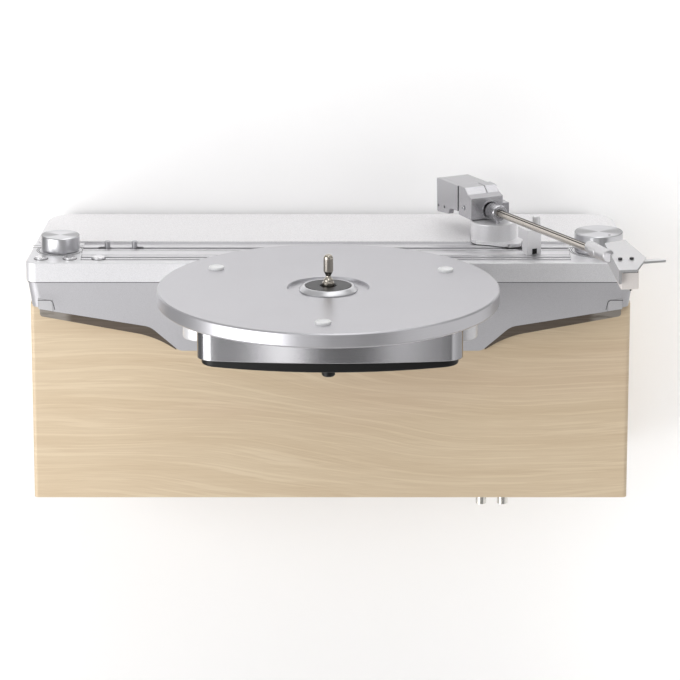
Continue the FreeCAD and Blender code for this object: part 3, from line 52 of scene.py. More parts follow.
# %% [markdown]
# The deck is easiest to think about in its own measures: millimetres from the middle, from the front
# edge back, and from the top up. The model's frame starts on the wall instead, so one function carries a
# point over to metres there. The four places that pieces turn about are named here, because the shapes and
# the rings in their finishes have to share them.

# %% Deck measures to metres
MM = 0.001
WALL_Y = 154.0
WALL_Z = 113.0
PLATTER_AT = (-1.2, -117.2)
LEFT_KNOB_AT = (-207, 39)
RIGHT_KNOB_AT = (205.4, 37.4)
PIVOT_AT = (118.2, 82.6)


def deck(x, y, z):
    """A point in the deck's own millimetres, as a place in the model's frame."""
    return Vector((x * MM, (y - WALL_Y) * MM, (z + WALL_Z) * MM))


print("deck's front edge is at", tuple(deck(0, 0, 0)))

# %% [markdown]
# The photograph was taken from in front and a little above with a long lens, so upright lines stay
# upright and the platter is a flat ellipse. The camera stands three metres away and looks down by sixteen
# degrees.

# %% The camera
CAMERA_AT = (0.0073, -3.0849, 0.8905)
LOOKS_DOWN = 15.96
FOCAL_LENGTH = 211.8
lens = bpy.data.cameras.new("camera")
lens.sensor_width = 36.0
lens.lens = FOCAL_LENGTH
lens.clip_end = 50.0
camera = bpy.data.objects.new("camera", lens)
camera.location = CAMERA_AT
camera.rotation_euler = (math.radians(90 - LOOKS_DOWN), 0, 0)
bpy.context.scene.collection.objects.link(camera)
bpy.context.scene.camera = camera
bpy.context.scene.view_settings.view_transform = "Standard"
print("lens", lens.lens, "mm")

# %% [markdown]
# Every finish below is a short sum of patterns. Adding nodes one by one hides that sum, so a small class
# holds one node's output and lets Python's own signs add the Math nodes.

# %% A value that can be reckoned with
class Wire:
    """One output of a node. A sum with it adds Math nodes to the same finish."""

    def __init__(self, finish, socket):
        self.finish = finish
        self.socket = socket

    def math(self, operation, *values):
        return self.finish.node("Math", {"operation": operation}, dict(enumerate(values)))

    def __add__(self, other):
        return self.math("ADD", self, other)

    __radd__ = __add__

    def __sub__(self, other):
        return self.math("SUBTRACT", self, other)

    def __rsub__(self, other):
        return self.math("SUBTRACT", other, self)

    def __mul__(self, other):
        return self.math("MULTIPLY", self, other)

    __rmul__ = __mul__

    def __truediv__(self, other):
        return self.math("DIVIDE", self, other)

    def __rtruediv__(self, other):
        return self.math("DIVIDE", other, self)

    def power(self, other):
        return self.math("POWER", self, other)

    def size(self):
        return self.math("ABSOLUTE", self)

    def fraction(self):
        return self.math("FRACT", self)

    def wave(self):
        return self.math("SINE", self)

    def most(self, other):
        return self.math("MAXIMUM", self, other)

    def least(self, other):
        return self.math("MINIMUM", self, other)

    def step(self, low, high):
        """0 below low, 1 above high, and smooth between; high below low turns it round."""
        settings = {"interpolation_type": "SMOOTHSTEP"}
        if low > high:
            return 1 - self.step(high, low)
        return self.finish.node("MapRange", settings, {"Value": self, "From Min": low, "From Max": high})


# %% [markdown]
# A material is a tree of nodes, and so is the world. One class adds nodes to either of them, and a second
# one adds what a material needs: its Principled shader and a bump. A value that is the same all over goes
# straight on the shader's own socket, and only patterns are linked to it.

# %% A finish
def shaded(colour, share):
    """A colour made darker or lighter, never past white."""
    return tuple(min(1.0, part * share) for part in colour)


class Tree:
    """The nodes of one material or of the world."""

    def __init__(self, tree):
        self.tree = tree

    def feed(self, socket, value):
        if isinstance(value, Wire):
            self.tree.links.new(value.socket, socket)
        elif socket.type == "RGBA" and len(value) == 3:
            socket.default_value = (*value, 1.0)
        else:
            socket.default_value = value

    def node(self, kind, settings=None, inputs=None, output=0):
        """Adds a node: its settings first, then the values or links of its sockets."""
        made = self.tree.nodes.new("ShaderNode" + kind)
        for name, value in (settings or {}).items():
            setattr(made, name, value)
        for name, value in (inputs or {}).items():
            self.feed(made.inputs[name], value)
        return Wire(self, made.outputs[output])

    def mix(self, share, first, second):
        """The first colour where share is 0, the second where it is 1."""
        return self.node("Mix", {"data_type": "RGBA"}, {0: share, 6: first, 7: second}, 2)

    def speckled(self, pattern, colour, contrast):
        """The colour, darker where the pattern is 0 and a little lighter where it is 1."""
        return self.mix(pattern, shaded(colour, 1 - 2 * contrast), shaded(colour, 1 + contrast))

    def place(self):
        """Object coordinates, in metres from the origin of the model's frame."""
        return self.node("TexCoord", output=3)

    def parts(self, vector):
        split = self.node("SeparateXYZ", inputs={"Vector": vector})
        return [Wire(self, split.socket.node.outputs[number]) for number in range(3)]

    def stretch(self, vector, scale, centre=(0, 0, 0), turn=(0, 0, 0)):
        """The vector measured from a centre, then scaled along each axis."""
        moved = self.node("VectorMath", {"operation": "SUBTRACT"}, {0: vector, 1: tuple(centre)})
        return self.node("Mapping", {"vector_type": "POINT"},
                         {"Vector": moved, "Scale": scale, "Rotation": turn})

    def noise(self, vector, scale, detail=3.0, roughness=0.5):
        return self.node("TexNoise", None, {"Vector": vector, "Scale": scale, "Detail": detail,
                                            "Roughness": roughness})


class Finish(Tree):
    """One material, which ends in a Principled shader."""

    def __init__(self, name, **fixed):
        self.material = bpy.data.materials.new(name)
        self.material.use_nodes = True
        super().__init__(self.material.node_tree)
        self.shader = self.tree.nodes["Principled BSDF"]
        self.set(**fixed)

    def set(self, **values):
        """Gives values or wires to the shader's sockets, with _ for a space in their names."""
        for name, value in values.items():
            self.feed(self.shader.inputs[name.replace("_", " ")], value)
        return self

    def bump(self, height, depth, strength=1.0):
        """Feeds the surface's normal from a height pattern; depth is in metres."""
        self.set(Normal=self.node("Bump", None, {"Height": height, "Distance": depth, "Strength": strength}))
        return self


finishes = {}
print("ready to mix finishes")

# %% [markdown]
# The front of the cabinet is maple veneer, laid with its grain across. Maple is pale and even: thin
# growth lines run nearly level, sag into long arches where the saw met the rings, and short fine pores
# lie along them. The height of a point, bent by a slow noise and by one wide arch, gives the growth
# lines, and a noise that is stretched forty times along the grain gives the pores. Here and there the wood
# blushes a little pink.

# %% Maple
ARCH_X, ARCH_WIDTH, ARCH_TALL = 0.16, 0.17, 1.15
LINES_PER_METRE = 34


def maple_finish(name, light, painted_reflections, blushed):
    wood = Finish(name, IOR=1.45)
    point = wood.place()
    x, y, z = wood.parts(point)
    drift = wood.noise(wood.stretch(point, (2.2, 6.0, 9.0)), 1.0, 2.0)
    across = (x - ARCH_X) / ARCH_WIDTH
    arch = 1 / (1 + across * across)
    height = z * LINES_PER_METRE + arch * ARCH_TALL + drift * 2.6 + x * 0.9
    rings = (height * 2.0 * math.pi).wave() * 0.5 + 0.5
    flow = wood.node("CombineXYZ", None, {"X": x * 7, "Y": y * 7, "Z": height * 9})
    growth = wood.noise(flow, 1.0, 4.0, 0.6)
    growth_lines = (1 - (growth - 0.5).size() * 14).most(0.0)
    pores = wood.noise(wood.stretch(point, (30, 600, 1300)), 1.0, 4.0, 0.65)
    fibres = wood.noise(wood.stretch(point, (9, 260, 420)), 1.0, 4.0, 0.6)
    clouds = wood.noise(wood.stretch(point, (5, 5, 12)), 1.0, 3.0)
    grain = rings.power(2.5) * 0.12 + growth_lines * 0.22 + (growth - 0.5) * 0.9 + (fibres - 0.5) * 0.5
    flecks = pores.step(0.60, 0.74) * 0.20
    shade = (grain + flecks + (clouds - 0.45) * 0.45 + 0.12).most(0.0).least(1.0)
    colour = wood.mix(shade, light, painted_reflections)
    blush = wood.noise(wood.stretch(point, (3.5, 4, 16)), 1.0, 2.0).step(0.5, 0.75) * 0.22
    wood.set(Base_Color=wood.mix(blush, colour, blushed),
             Roughness=0.40 + fibres * 0.12)
    wood.bump(fibres * 0.6 + pores * 0.4, 0.00004, 0.5)
    return wood


finishes["maple"] = maple_finish("maple", (0.725, 0.595, 0.425), (0.52, 0.375, 0.23), (0.70, 0.52, 0.40))
print("maple ready")

# %% [markdown]
# Most of the deck is silver paint over a casting. Under a lens it is a fine grain of metal flakes: the
# colour flickers a little from grain to grain, the gloss changes slowly, and the surface is faintly
# uneven. One function makes the paint, and each piece picks its own lightness, gloss and grain. The bowed
# nose under the platter is glossier, and its round ends carry painted shade: the paint gets darker from
# NOSE_TURNS metres off the middle, where the nose starts to turn away, to NOSE_ENDS.

# %% Silver paints
# IN_SHADE is how dark painted shade is, as a share of the colour.
IN_SHADE = 0.35
NOSE_TURNS, NOSE_ENDS = 0.085, 0.0955


def silver_finish(name, colour, metal=0.7, gloss=0.36, grain=0.05, coarse=2600, depth=0.00002, painted_end_shade=0.0):
    """A flaked paint; the last argument paints shade on it, darker towards the two ends of the platter's
    housing.
    """
    paint = Finish(name, Metallic=metal)
    point = paint.place()
    flakes = paint.noise(paint.stretch(point, (coarse, coarse, coarse)), 1.0, 2.0, 0.7)
    slow = paint.noise(paint.stretch(point, (14, 14, 14)), 1.0, 3.0)
    coat = paint.speckled(flakes.step(0.3, 0.7), colour, grain)
    # Painted shade on the nose's round ends, where they turn away.
    if painted_end_shade:
        ends = paint.parts(point)[0].size().step(NOSE_TURNS, NOSE_ENDS)
        coat = paint.mix(ends * painted_end_shade, coat, shaded(colour, IN_SHADE))
    paint.set(Base_Color=coat,
              Roughness=gloss - 0.03 + (slow - 0.5) * 0.08 + flakes * 0.05)
    paint.bump(flakes, depth, 0.45)
    return paint


finishes["cast_silver"] = silver_finish("cast_silver", (0.80, 0.795, 0.815), 0.42, 0.40)
# Painted shade: the skirt takes the deck's paint made darker, for a face that turns down.
finishes["shaded_skirt_silver"] = silver_finish("shaded_skirt_silver", (0.60, 0.595, 0.62), 0.55, 0.38)
# The housing's paint carries painted shade on its round ends.
finishes["housing_silver"] = silver_finish("housing_silver", (0.62, 0.615, 0.64), 0.92, 0.16, 0.05,
                                           painted_end_shade=0.85)
finishes["textured_silver"] = silver_finish("textured_silver", (0.87, 0.86, 0.87), 0.25, 0.52, 0.08,
                                            1900, 0.00005)
finishes["arm_silver"] = silver_finish("arm_silver", (0.50, 0.495, 0.515), 0.82, 0.26, 0.05)
finishes["rest_silver"] = silver_finish("rest_silver", (0.84, 0.835, 0.85), 0.50, 0.36, 0.04)
finishes["head_silver"] = silver_finish("head_silver", (0.66, 0.655, 0.665), 0.75, 0.34, 0.03)
finishes["button_silver"] = silver_finish("button_silver", (0.80, 0.795, 0.81), 0.85, 0.24, 0.02)
print("paints:", [name for name in finishes if "silver" in name])

# %% [markdown]
# Machined metal keeps the tool's marks. On a turned piece they are rings about its own axis, and on the
# ribbed strip they are straight lines along it. A noise that is read at the distance from the axis gives
# the rings, because every point at one radius then has the same value.

# %% Turned and brushed metal
GROOVE_DARK, GROOVE_ENDS = 0.0006, 0.0014
LEFT_KNOB_TOP, RIGHT_KNOB_TOP = 12.4, 15.4


def turned_finish(name, colour, centre, metal=0.8, gloss=0.30, lines=2600, contrast=0.05, depth=0.00001,
                  painted_sheen=0.0, top=0.0):
    """Rings about an upright axis through centre; fan paints shade on the two side wedges of a top face, so
    it shows a painted sheen.
    """
    metal_finish = Finish(name, Metallic=metal)
    point = metal_finish.place()
    x, y, z = metal_finish.parts(metal_finish.stretch(point, (1, 1, 1), centre))
    radius = (x * x + y * y).power(0.5)
    rings = metal_finish.node("TexNoise", {"noise_dimensions": "1D"},
                              {"W": radius * lines, "Scale": 1.0, "Detail": 3.0})
    heights = metal_finish.node("TexNoise", {"noise_dimensions": "1D"},
                                {"W": z * lines, "Scale": 1.0, "Detail": 3.0})
    slow = metal_finish.noise(metal_finish.stretch(point, (30, 30, 30)), 1.0, 2.0)
    marks = rings * 0.5 + heights * 0.5
    coat = metal_finish.speckled(marks.step(0.35, 0.65), colour, contrast)
    # Painted sheen: the two side wedges of a top face are painted darker, so the front and back read as its
    # bright streak.
    if painted_sheen:
        sideways = (x * x - y * y) / (radius * radius + 0.000001)
        painted_sheen_wedge = sideways.step(-0.1, 1.0) * z.step(top * MM - 0.0006, top * MM - 0.0004)
        coat = metal_finish.mix(painted_sheen_wedge * (0.75 + rings * 0.5) * painted_sheen, coat, shaded(colour, IN_SHADE))
    metal_finish.set(Base_Color=coat,
                     Roughness=gloss + (marks - 0.5) * 0.10 + (slow - 0.5) * 0.06)
    metal_finish.bump(marks, depth, 0.5)
    return metal_finish


def brushed_finish(name, colour, along=(20, 3200, 3200), metal=0.85, gloss=0.30, contrast=0.06, painted_groove_shades=()):
    """Straight lines; along is how fast they change on each axis, and at the y of each groove a dark line is
    painted as shade.
    """
    brushed = Finish(name, Metallic=metal)
    point = brushed.place()
    lines = brushed.noise(brushed.stretch(point, along), 1.0, 3.0, 0.6)
    slow = brushed.noise(brushed.stretch(point, (10, 40, 40)), 1.0, 2.0)
    coat = brushed.speckled(lines.step(0.35, 0.65), colour, contrast)
    y = brushed.parts(point)[1]
    # Painted shade: a dark line at the y of each of the strip's grooves.
    for middle in painted_groove_shades:
        painted_groove_shade = 1 - (y - deck(0, middle, 0).y).size().step(GROOVE_DARK, GROOVE_ENDS)
        coat = brushed.mix(painted_groove_shade * 0.75, coat, shaded(colour, 0.3))
    brushed.set(Base_Color=coat, Roughness=gloss + (lines - 0.5) * 0.12 + (slow - 0.5) * 0.08)
    brushed.bump(lines, 0.00001, 0.5)
    return brushed


PLATTER = deck(*PLATTER_AT, 0)
LEFT_KNOB = deck(*LEFT_KNOB_AT, 0)
RIGHT_KNOB = deck(*RIGHT_KNOB_AT, 0)
finishes["platter_silver"] = turned_finish("platter_silver", (0.55, 0.545, 0.57), PLATTER, 0.78, 0.33,
                                           2300, 0.025, 0.00003)
# The knob tops carry a painted sheen.
for name, axis, top in (("knob_silver", LEFT_KNOB, LEFT_KNOB_TOP),
                        ("knob_silver_right", RIGHT_KNOB, RIGHT_KNOB_TOP)):
    finishes[name] = turned_finish(name, (0.66, 0.66, 0.68), axis, 1.0, 0.30, 3000, 0.04, 0.00002, 0.8, top)
finishes["hub_polished"] = turned_finish("hub_polished", (0.64, 0.64, 0.66), PLATTER, 0.9, 0.32, 3600, 0.03)
finishes["hub_black"] = turned_finish("hub_black", (0.016, 0.016, 0.018), PLATTER, 0.0, 0.38, 3600, 0.15)
finishes["spindle_nickel"] = turned_finish("spindle_nickel", (0.54, 0.50, 0.44), PLATTER, 1.0, 0.13,
                                           4000, 0.04)
finishes["ribbed_silver"] = brushed_finish("ribbed_silver", (0.72, 0.715, 0.735), metal=0.75, gloss=0.33,
                                           painted_groove_shades=(24, 33, 43))
finishes["steel"] = brushed_finish("steel", (0.55, 0.55, 0.57), (300, 1800, 1800), 1.0, 0.34)
finishes["wall_steel"] = brushed_finish("wall_steel", (0.50, 0.51, 0.53), (30, 900, 900), 0.9, 0.45)
finishes["tray_steel"] = brushed_finish("tray_steel", (0.42, 0.43, 0.45), (25, 900, 900), 0.9, 0.5)
finishes["brass"] = brushed_finish("brass", (0.72, 0.55, 0.27), (900, 900, 900), 1.0, 0.3)
finishes["bronze_bush"] = brushed_finish("bronze_bush", (0.55, 0.36, 0.20), (1500, 1500, 1500), 1.0, 0.42)
finishes["socket_plated"] = brushed_finish("socket_plated", (0.70, 0.68, 0.64), (1500, 1500, 90), 1.0, 0.2)
finishes["supply_case"] = brushed_finish("supply_case", (0.46, 0.47, 0.48), (30, 700, 700), 0.9, 0.5)
print("metals ready:", len(finishes))

# %% [markdown]
# The arm's tube is polished so brightly that a room shows in it as long dark lines. So thin a mirror needs
# a whole room to show them, so they are painted reflections: two dark bands painted along the tube. The
# height across it, measured on a slant towards its front side, picks them out.

# %% Polished tube
ARM_TURN, ARM_TILT, TILT_SLOPE = -64, -2, 0.0349
TUBE_HEIGHT, TUBE_RADIUS = 23.2, 2.9
# The slant is the camera's view across the tube, so the painted reflection bands lie where the tube would
# mirror the room.
SLANT_UP, SLANT_ASIDE = 0.839, 0.545


def tube_finish():
    tube = Finish("tube_steel", IOR=1.15)
    point = tube.place()
    local = tube.stretch(point, (1, 1, 1), tuple(deck(*PIVOT_AT, TUBE_HEIGHT)),
                         (0, 0, math.radians(-ARM_TURN)))
    x, y, z = tube.parts(local)
    rise = ((z - x * TILT_SLOPE) * SLANT_UP + y * SLANT_ASIDE) / (TUBE_RADIUS * MM)
    polish = tube.noise(tube.stretch(point, (500, 500, 500)), 1.0, 3.0)
    haze = tube.noise(tube.stretch(point, (25, 25, 25)), 1.0, 2.0)
    # Painted reflections: two dark bands across the tube's height, black and non-metallic in the colour.
    upper_painted_reflection = rise.step(0.58, 0.66)
    lower_painted_reflection = rise.step(0.04, 0.14) * (1 - rise.step(0.36, 0.42))
    painted_reflections = upper_painted_reflection + lower_painted_reflection
    steel = tube.mix(polish * 0.3 + haze * 0.3, (0.66, 0.62, 0.57), (0.50, 0.455, 0.40))
    tube.set(Base_Color=tube.mix(painted_reflections, steel, (0.02, 0.018, 0.016)), Metallic=1 - painted_reflections * 0.95,
             Roughness=0.17 + polish * 0.06 + haze * 0.05)
    tube.bump(polish, 0.000004, 0.4)
    return tube


finishes["tube_steel"] = tube_finish()
print("tube steel ready")

# %% [markdown]
# The strips under the skirt are bronze-brown anodised metal, with a painted highlight near each outer
# end, where it turns to the light: pale and bright in broken patches. The corner covers have the deck's
# paint, a shade darker.

# %% Bronze strips
def bronze_finish():
    strip = Finish("bronze_trim", Metallic=0.75)
    point = strip.place()
    x = strip.parts(point)[0]
    lines = strip.noise(strip.stretch(point, (18, 2400, 2400)), 1.0, 3.0, 0.6)
    highlight_patches = strip.noise(strip.stretch(point, (60, 300, 300)), 1.0, 3.0)
    colour = strip.mix(lines.step(0.3, 0.7), (0.125, 0.100, 0.080), (0.175, 0.145, 0.118))
    # Painted highlight: pale and bright towards each strip's outer end, in patches.
    tip = x.size().step(0.196, 0.204) * highlight_patches.step(0.2, 0.5)
    strip.set(Base_Color=strip.mix(tip * 0.55, colour, (0.52, 0.49, 0.45)), Roughness=0.36 + lines * 0.10)
    strip.bump(lines, 0.00001, 0.4)
    return strip


finishes["bronze_trim"] = bronze_finish()
finishes["dark_cover"] = silver_finish("dark_cover", (0.68, 0.675, 0.695), 0.62, 0.38)
print("strips ready")

# %% [markdown]
# What is left is moulded or printed: the black base under the platter's housing, frosted clear pads, the
# pale cartridge, the rubber belt and the boards inside. A moulding has a fine spark-eroded grain, so these
# share one function, and only the boards, with their copper tracks, have one of their own.

# %% Plastics and rubber
def moulded_finish(name, colour, gloss=0.45, coarse=1700, depth=0.00002, contrast=0.06, **fixed):
    plastic = Finish(name, **fixed)
    point = plastic.place()
    pits = plastic.noise(plastic.stretch(point, (coarse, coarse, coarse)), 1.0, 3.0, 0.6)
    slow = plastic.noise(plastic.stretch(point, (22, 22, 22)), 1.0, 2.0)
    plastic.set(Base_Color=plastic.speckled(pits.step(0.3, 0.7), colour, contrast),
                Roughness=gloss + (pits - 0.5) * 0.10 + (slow - 0.5) * 0.10)
    plastic.bump(pits, depth, 0.4)
    return plastic


finishes["dark_base"] = moulded_finish("dark_base", (0.008, 0.008, 0.008), 0.42, IOR=1.35)
finishes["cartridge_grey"] = moulded_finish("cartridge_grey", (0.86, 0.81, 0.78), 0.38, contrast=0.02)
finishes["stylus_white"] = moulded_finish("stylus_white", (0.62, 0.60, 0.58), 0.35)
finishes["inlet_black"] = moulded_finish("inlet_black", (0.018, 0.018, 0.019), 0.35)
finishes["belt_rubber"] = moulded_finish("belt_rubber", (0.020, 0.019, 0.018), 0.7, 900, 0.00003, 0.15)
finishes["pad_clear"] = moulded_finish("pad_clear", (0.87, 0.875, 0.88), 0.30, 1200, 0.00002, 0.02)


def board_finish():
    board = Finish("board_green", Metallic=0.0)
    point = board.place()
    x = board.parts(point)[0]
    weave = board.noise(board.stretch(point, (900, 900, 900)), 1.0, 2.0)
    tracks = ((x * 260).fraction() - 0.5).size().step(0.30, 0.36)
    breaks = board.noise(board.stretch(point, (40, 130, 40)), 1.0, 1.0).step(0.5, 0.52)
    copper = tracks * breaks
    colour = board.mix(copper, (0.02, 0.12, 0.05), (0.05, 0.22, 0.09))
    board.set(Base_Color=board.mix(weave * 0.15, colour, (0.10, 0.20, 0.10)), Roughness=0.42 - copper * 0.1)
    board.bump(copper * 0.7 + weave * 0.3, 0.00003, 0.4)
    return board


finishes["board_green"] = board_finish()
print("finishes:", len(finishes))

# %% [markdown]
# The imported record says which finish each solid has. The solids that stay as they are take their
# material from there in one loop; the pieces made further down use the same finishes.

# %% Finishes on the solids
slot_of = {part["node"]: part["material_slot"] for part in frame["record"]["subparts"]}
for name, solid in nodes.items():
    solid.data.materials.clear()
    solid.data.materials.append(finishes[slot_of[name]].material)
# The skirt takes the darker copy of the deck's paint, which is painted shade.
nodes["lower_deck_shell"].data.materials[0] = finishes["shaded_skirt_silver"].material
print("dressed", len(slot_of), "solids")

# %% [markdown]
# A cast or machined piece never has a knife edge. The CAD solids do, so each visible one is copied,
# its loose triangles are joined and flattened into whole faces again, and its sharp edges are bevelled
# by a few tenths of a millimetre. The copy stands for the solid, in the same place. The two strips under
# the skirt also bend in a wide curve instead of a crease.

# %% Softened copies of the solids
body_of = {name: body for body, names in frame["record"]["behaviour"]["bodies"].items() for name in names}


def show(name, shape, body, slot, stands_for=(), sharp=40, finish=None):
    """Turns a bmesh into a finished piece that rides on a body and stands for some solids."""
    mesh = bpy.data.meshes.new(name)
    shape.to_mesh(mesh)
    shape.free()
    mesh.shade_smooth()
    mesh.set_sharp_from_angle(angle=math.radians(sharp))
    mesh.materials.append((finish or finishes[slot]).material)
    piece = bpy.data.objects.new(name, mesh)
    bpy.context.scene.collection.objects.link(piece)
    weighted = piece.modifiers.new("even_normals", "WEIGHTED_NORMAL")
    weighted.keep_sharp = True
    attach(piece, body)
    if stands_for:
        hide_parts(*stands_for)
    return piece


def sharp_edges(shape, angle):
    """The edges at which two faces meet at more than the angle, in degrees."""
    return [edge for edge in shape.edges if len(edge.link_faces) == 2
            and edge.calc_face_angle(0) > math.radians(angle)]


def round_off(shape, edges, offset, segments, clamp=False):
    """Bevels the edges with a round profile; the offset is in the shape's own unit."""
    bmesh.ops.bevel(shape, geom=edges, offset=offset, offset_type="OFFSET", segments=segments, profile=0.5,
                    affect="EDGES", clamp_overlap=clamp, material=-1)


def soften(shape, width, segments=2, angle=32):
    """Bevels every edge that turns by more than the angle; width is in millimetres of a shape in metres."""
    round_off(shape, sharp_edges(shape, angle), width * MM, segments, True)
    return shape


def copy_of(node):
    """A solid's mesh as a bmesh, with its triangles joined and its flat faces whole."""
    shape = bmesh.new()
    shape.from_mesh(nodes[node].data)
    bmesh.ops.remove_doubles(shape, verts=shape.verts, dist=2e-6)
    bmesh.ops.dissolve_limit(shape, angle_limit=math.radians(0.4), verts=shape.verts, edges=shape.edges,
                             use_dissolve_boundaries=False, delimit=set())
    return shape


TRIM_BEND_X, TRIM_BEND = 0.135, 0.012
SOFTENED = [("ribbed_strip", 0.15), ("rear_top_plate", 0.3), ("corner_covers", 0.15), ("wall_plate", 0.3),
            ("hanger_rail", 0.3), ("cabinet_front", 0.4), ("cabinet_left_side", 0.4),
            ("cabinet_right_side", 0.4), ("cabinet_bottom", 0.4), ("cabinet_back", 0.4)]
for node, width in SOFTENED:
    piece = show(node + "_soft", soften(copy_of(node), width), body_of[node], slot_of[node], [node])
    print(node, "->", len(piece.data.polygons), "faces")
for node in ("lower_trim_left", "lower_trim_right"):
    strip = copy_of(node)
    bend = [edge for edge in strip.edges
            if all(abs(abs(end.co.x) - TRIM_BEND_X) < 1e-4 for end in edge.verts)]
    round_off(strip, bend, TRIM_BEND, 8)
    show(node + "_soft", soften(strip, 0.3, 2, 40), "base", "bronze_trim", [node])

# %% [markdown]
# Round pieces come off a lathe, so they are made the same way: a profile of radius and height, spun
# about its axis. The corners of the profile are bevelled after the spin, and the rings of the finish lie
# about the same axis. Pieces that are many of a kind, such as the record pads, are merged into one mesh.

# %% Turning a profile
def turned(profile, x=0, y=0, steps=96, width=0.0, frame_of=None):
    """Spins (radius, height) points into a closed shape, upright at x, y on the deck or in another frame."""
    shape = bmesh.new()
    points = [shape.verts.new((radius, 0, height)) for radius, height in profile]
    edges = [shape.edges.new(pair) for pair in zip(points, points[1:])]
    if profile[0][0] > 0 and profile[-1][0] > 0:
        edges.append(shape.edges.new((points[-1], points[0])))
    bmesh.ops.spin(shape, geom=points + edges, cent=(0, 0, 0), axis=(0, 0, 1), angle=2 * math.pi,
                   steps=steps, use_merge=True)
    bmesh.ops.remove_doubles(shape, verts=shape.verts, dist=1e-4)
    bmesh.ops.recalc_face_normals(shape, faces=shape.faces)
    place = frame_of or Matrix.Translation(deck(x, y, 0)) @ Matrix.Scale(MM, 4)
    shape.transform(place)
    if width:
        soften(shape, width, angle=20)
    return shape


def merged(name, shapes):
    """Several closed shapes in one bmesh."""
    whole = bmesh.new()
    for shape in shapes:
        page = bpy.data.meshes.new(name)
        shape.to_mesh(page)
        shape.free()
        whole.from_mesh(page)
        bpy.data.meshes.remove(page)
    return whole


# %% [markdown]
# The platter is a thick disc with a bright chamfer round its upper edge, a shallow recess for the label,
# and a hollow underneath in which the belt runs. The hub in its middle is a polished cone with a black
# disc let into it, and the spindle stands up through that: a short shaft, a waist, and a rounded grip.

# %% The platter and what stands on it
show("platter_disc",
     turned([(4, 6), (112, 6), (112, 2), (123.8, 2), (125, 3.2), (125, 11.9), (123.9, 13), (30.3, 13),
             (29.9, 12.6), (29.6, 10.7), (4, 10.7)], *PLATTER_AT, 256, 0.15),
     "platter", "platter_silver", ["platter"])
show("hub_cone",
     turned([(6, 10.7), (21.4, 10.7), (21.4, 11.4), (20.6, 12.4), (18.6, 14.3), (17.6, 14.5), (17.2, 14.3),
             (16.9, 13.5), (6, 13.5)], *PLATTER_AT, 128, 0.1),
     "platter", "hub_polished", ["hub_ring"])
show("hub_black_disc",
     turned([(6, 13.5), (16.7, 13.5), (16.7, 14.2), (16.4, 14.4), (7.2, 14.4), (6.9, 14.2), (6.4, 14.2),
             (6, 14.0)], *PLATTER_AT, 128, 0.05),
     "platter", "hub_black", ["hub_disc"])
show("record_spindle",
     turned([(0, -37.6), (4, -37.6), (4, 10.7), (4.4, 11.2), (4.4, 16.4), (4.0, 17.2), (3.6, 17.6),
             (3.6, 18.8), (2.6, 19.8), (1.9, 20.9), (1.8, 21.6), (2.1, 22.4), (3.2, 24.3), (3.6, 25.4),
             (3.6, 34.6), (3.3, 36.0), (2.4, 37.2), (1.2, 37.8), (0, 37.9)], *PLATTER_AT, 64, 0.08),
     "platter", "spindle_nickel", ["spindle"])

PAD_CIRCLE = 98
PAD_TURNS = (28, 148, 268)
pads = [turned([(0, 12.9), (5.8, 12.9), (5.8, 14.2), (5.5, 14.8), (4.8, 14.8), (4.3, 14.35), (0, 14.1)],
               PLATTER_AT[0] + PAD_CIRCLE * math.cos(math.radians(turn)),
               PLATTER_AT[1] + PAD_CIRCLE * math.sin(math.radians(turn)), 48, 0.08) for turn in PAD_TURNS]
show("frosted_pads", merged("pads", pads), "platter", "pad_clear", ["platter_pads"])
print("platter turned")

# %% [markdown]
# Blocks and plates are cut from an outline: a few corner points make one face, the face is raised, and
# some of its upright corners are rounded. All of it is done in millimetres, and the last step puts it in
# its place in metres. With a turned frame the same function also makes pieces that lie on their side, such
# as the blocks of the tonearm.

# %% Raising an outline
def raised(outline, low, high):
    """A block in millimetres: (x, y) points made one face, which is raised from low to high."""
    shape = bmesh.new()
    ground = shape.faces.new([shape.verts.new((x, y, low)) for x, y in outline])
    moved = bmesh.ops.extrude_face_region(shape, geom=[ground])["geom"]
    bmesh.ops.translate(shape, vec=(0, 0, high - low),
                        verts=[part for part in moved if isinstance(part, bmesh.types.BMVert)])
    bmesh.ops.recalc_face_normals(shape, faces=shape.faces)
    return shape


def slab(outline, low, high, place, rounds=(), width=0.0, angle=12, segments=6):
    """A raised outline put in its place; rounds lists (corner number, radius)."""
    shape = raised(outline, low, high)
    for number, radius in rounds:
        corner = Vector(outline[number])
        upright = [edge for edge in shape.edges
                   if all((end.co.xy - corner).length < 1e-3 for end in edge.verts)]
        round_off(shape, upright, radius, segments)
    if width:
        soften(shape, width / MM, 2, angle)
    shape.transform(place)
    return shape


SCALE = Matrix.Scale(MM, 4)
DECK = Matrix.Translation(deck(0, 0, 0)) @ SCALE
ON_SIDE = Matrix.Rotation(math.radians(90), 4, "X")
print("frames ready")

# %% [markdown]
# The housing that carries the platter is a wide shallow block with a deeper, gently bowed nose in front of
# it. The nose has large round ends, and a black moulded base closes it from below. Its front edge is cut
# into twelve parts, and each part is pushed out along a curve.

# %% Platter housing
def bowed(half, front, bow, back, low, high, radius, crown=0.0):
    """A block whose front bows out, and whose underside drops towards the middle by the crown."""
    shape = raised([(-half, front), (half, front), (half, back), (-half, back)], low, high)
    ahead = [edge for edge in shape.edges if all(end.co.y < front + 1 for end in edge.verts)
             and abs(edge.verts[0].co.x - edge.verts[1].co.x) > 1]
    bmesh.ops.subdivide_edges(shape, edges=ahead, cuts=11, use_grid_fill=True)
    for vert in shape.verts:
        share = 1 - (vert.co.x / half) ** 2
        if vert.co.y < front + 1:
            vert.co.y -= bow * share
            if vert.co.z < low + 0.1:
                vert.co.z -= crown * share
    ends = [edge for edge in shape.edges if all(abs(abs(end.co.x) - half) < 0.01 for end in edge.verts)
            and all(end.co.y < front + 1 for end in edge.verts)]
    round_off(shape, ends, radius, 10)
    return shape


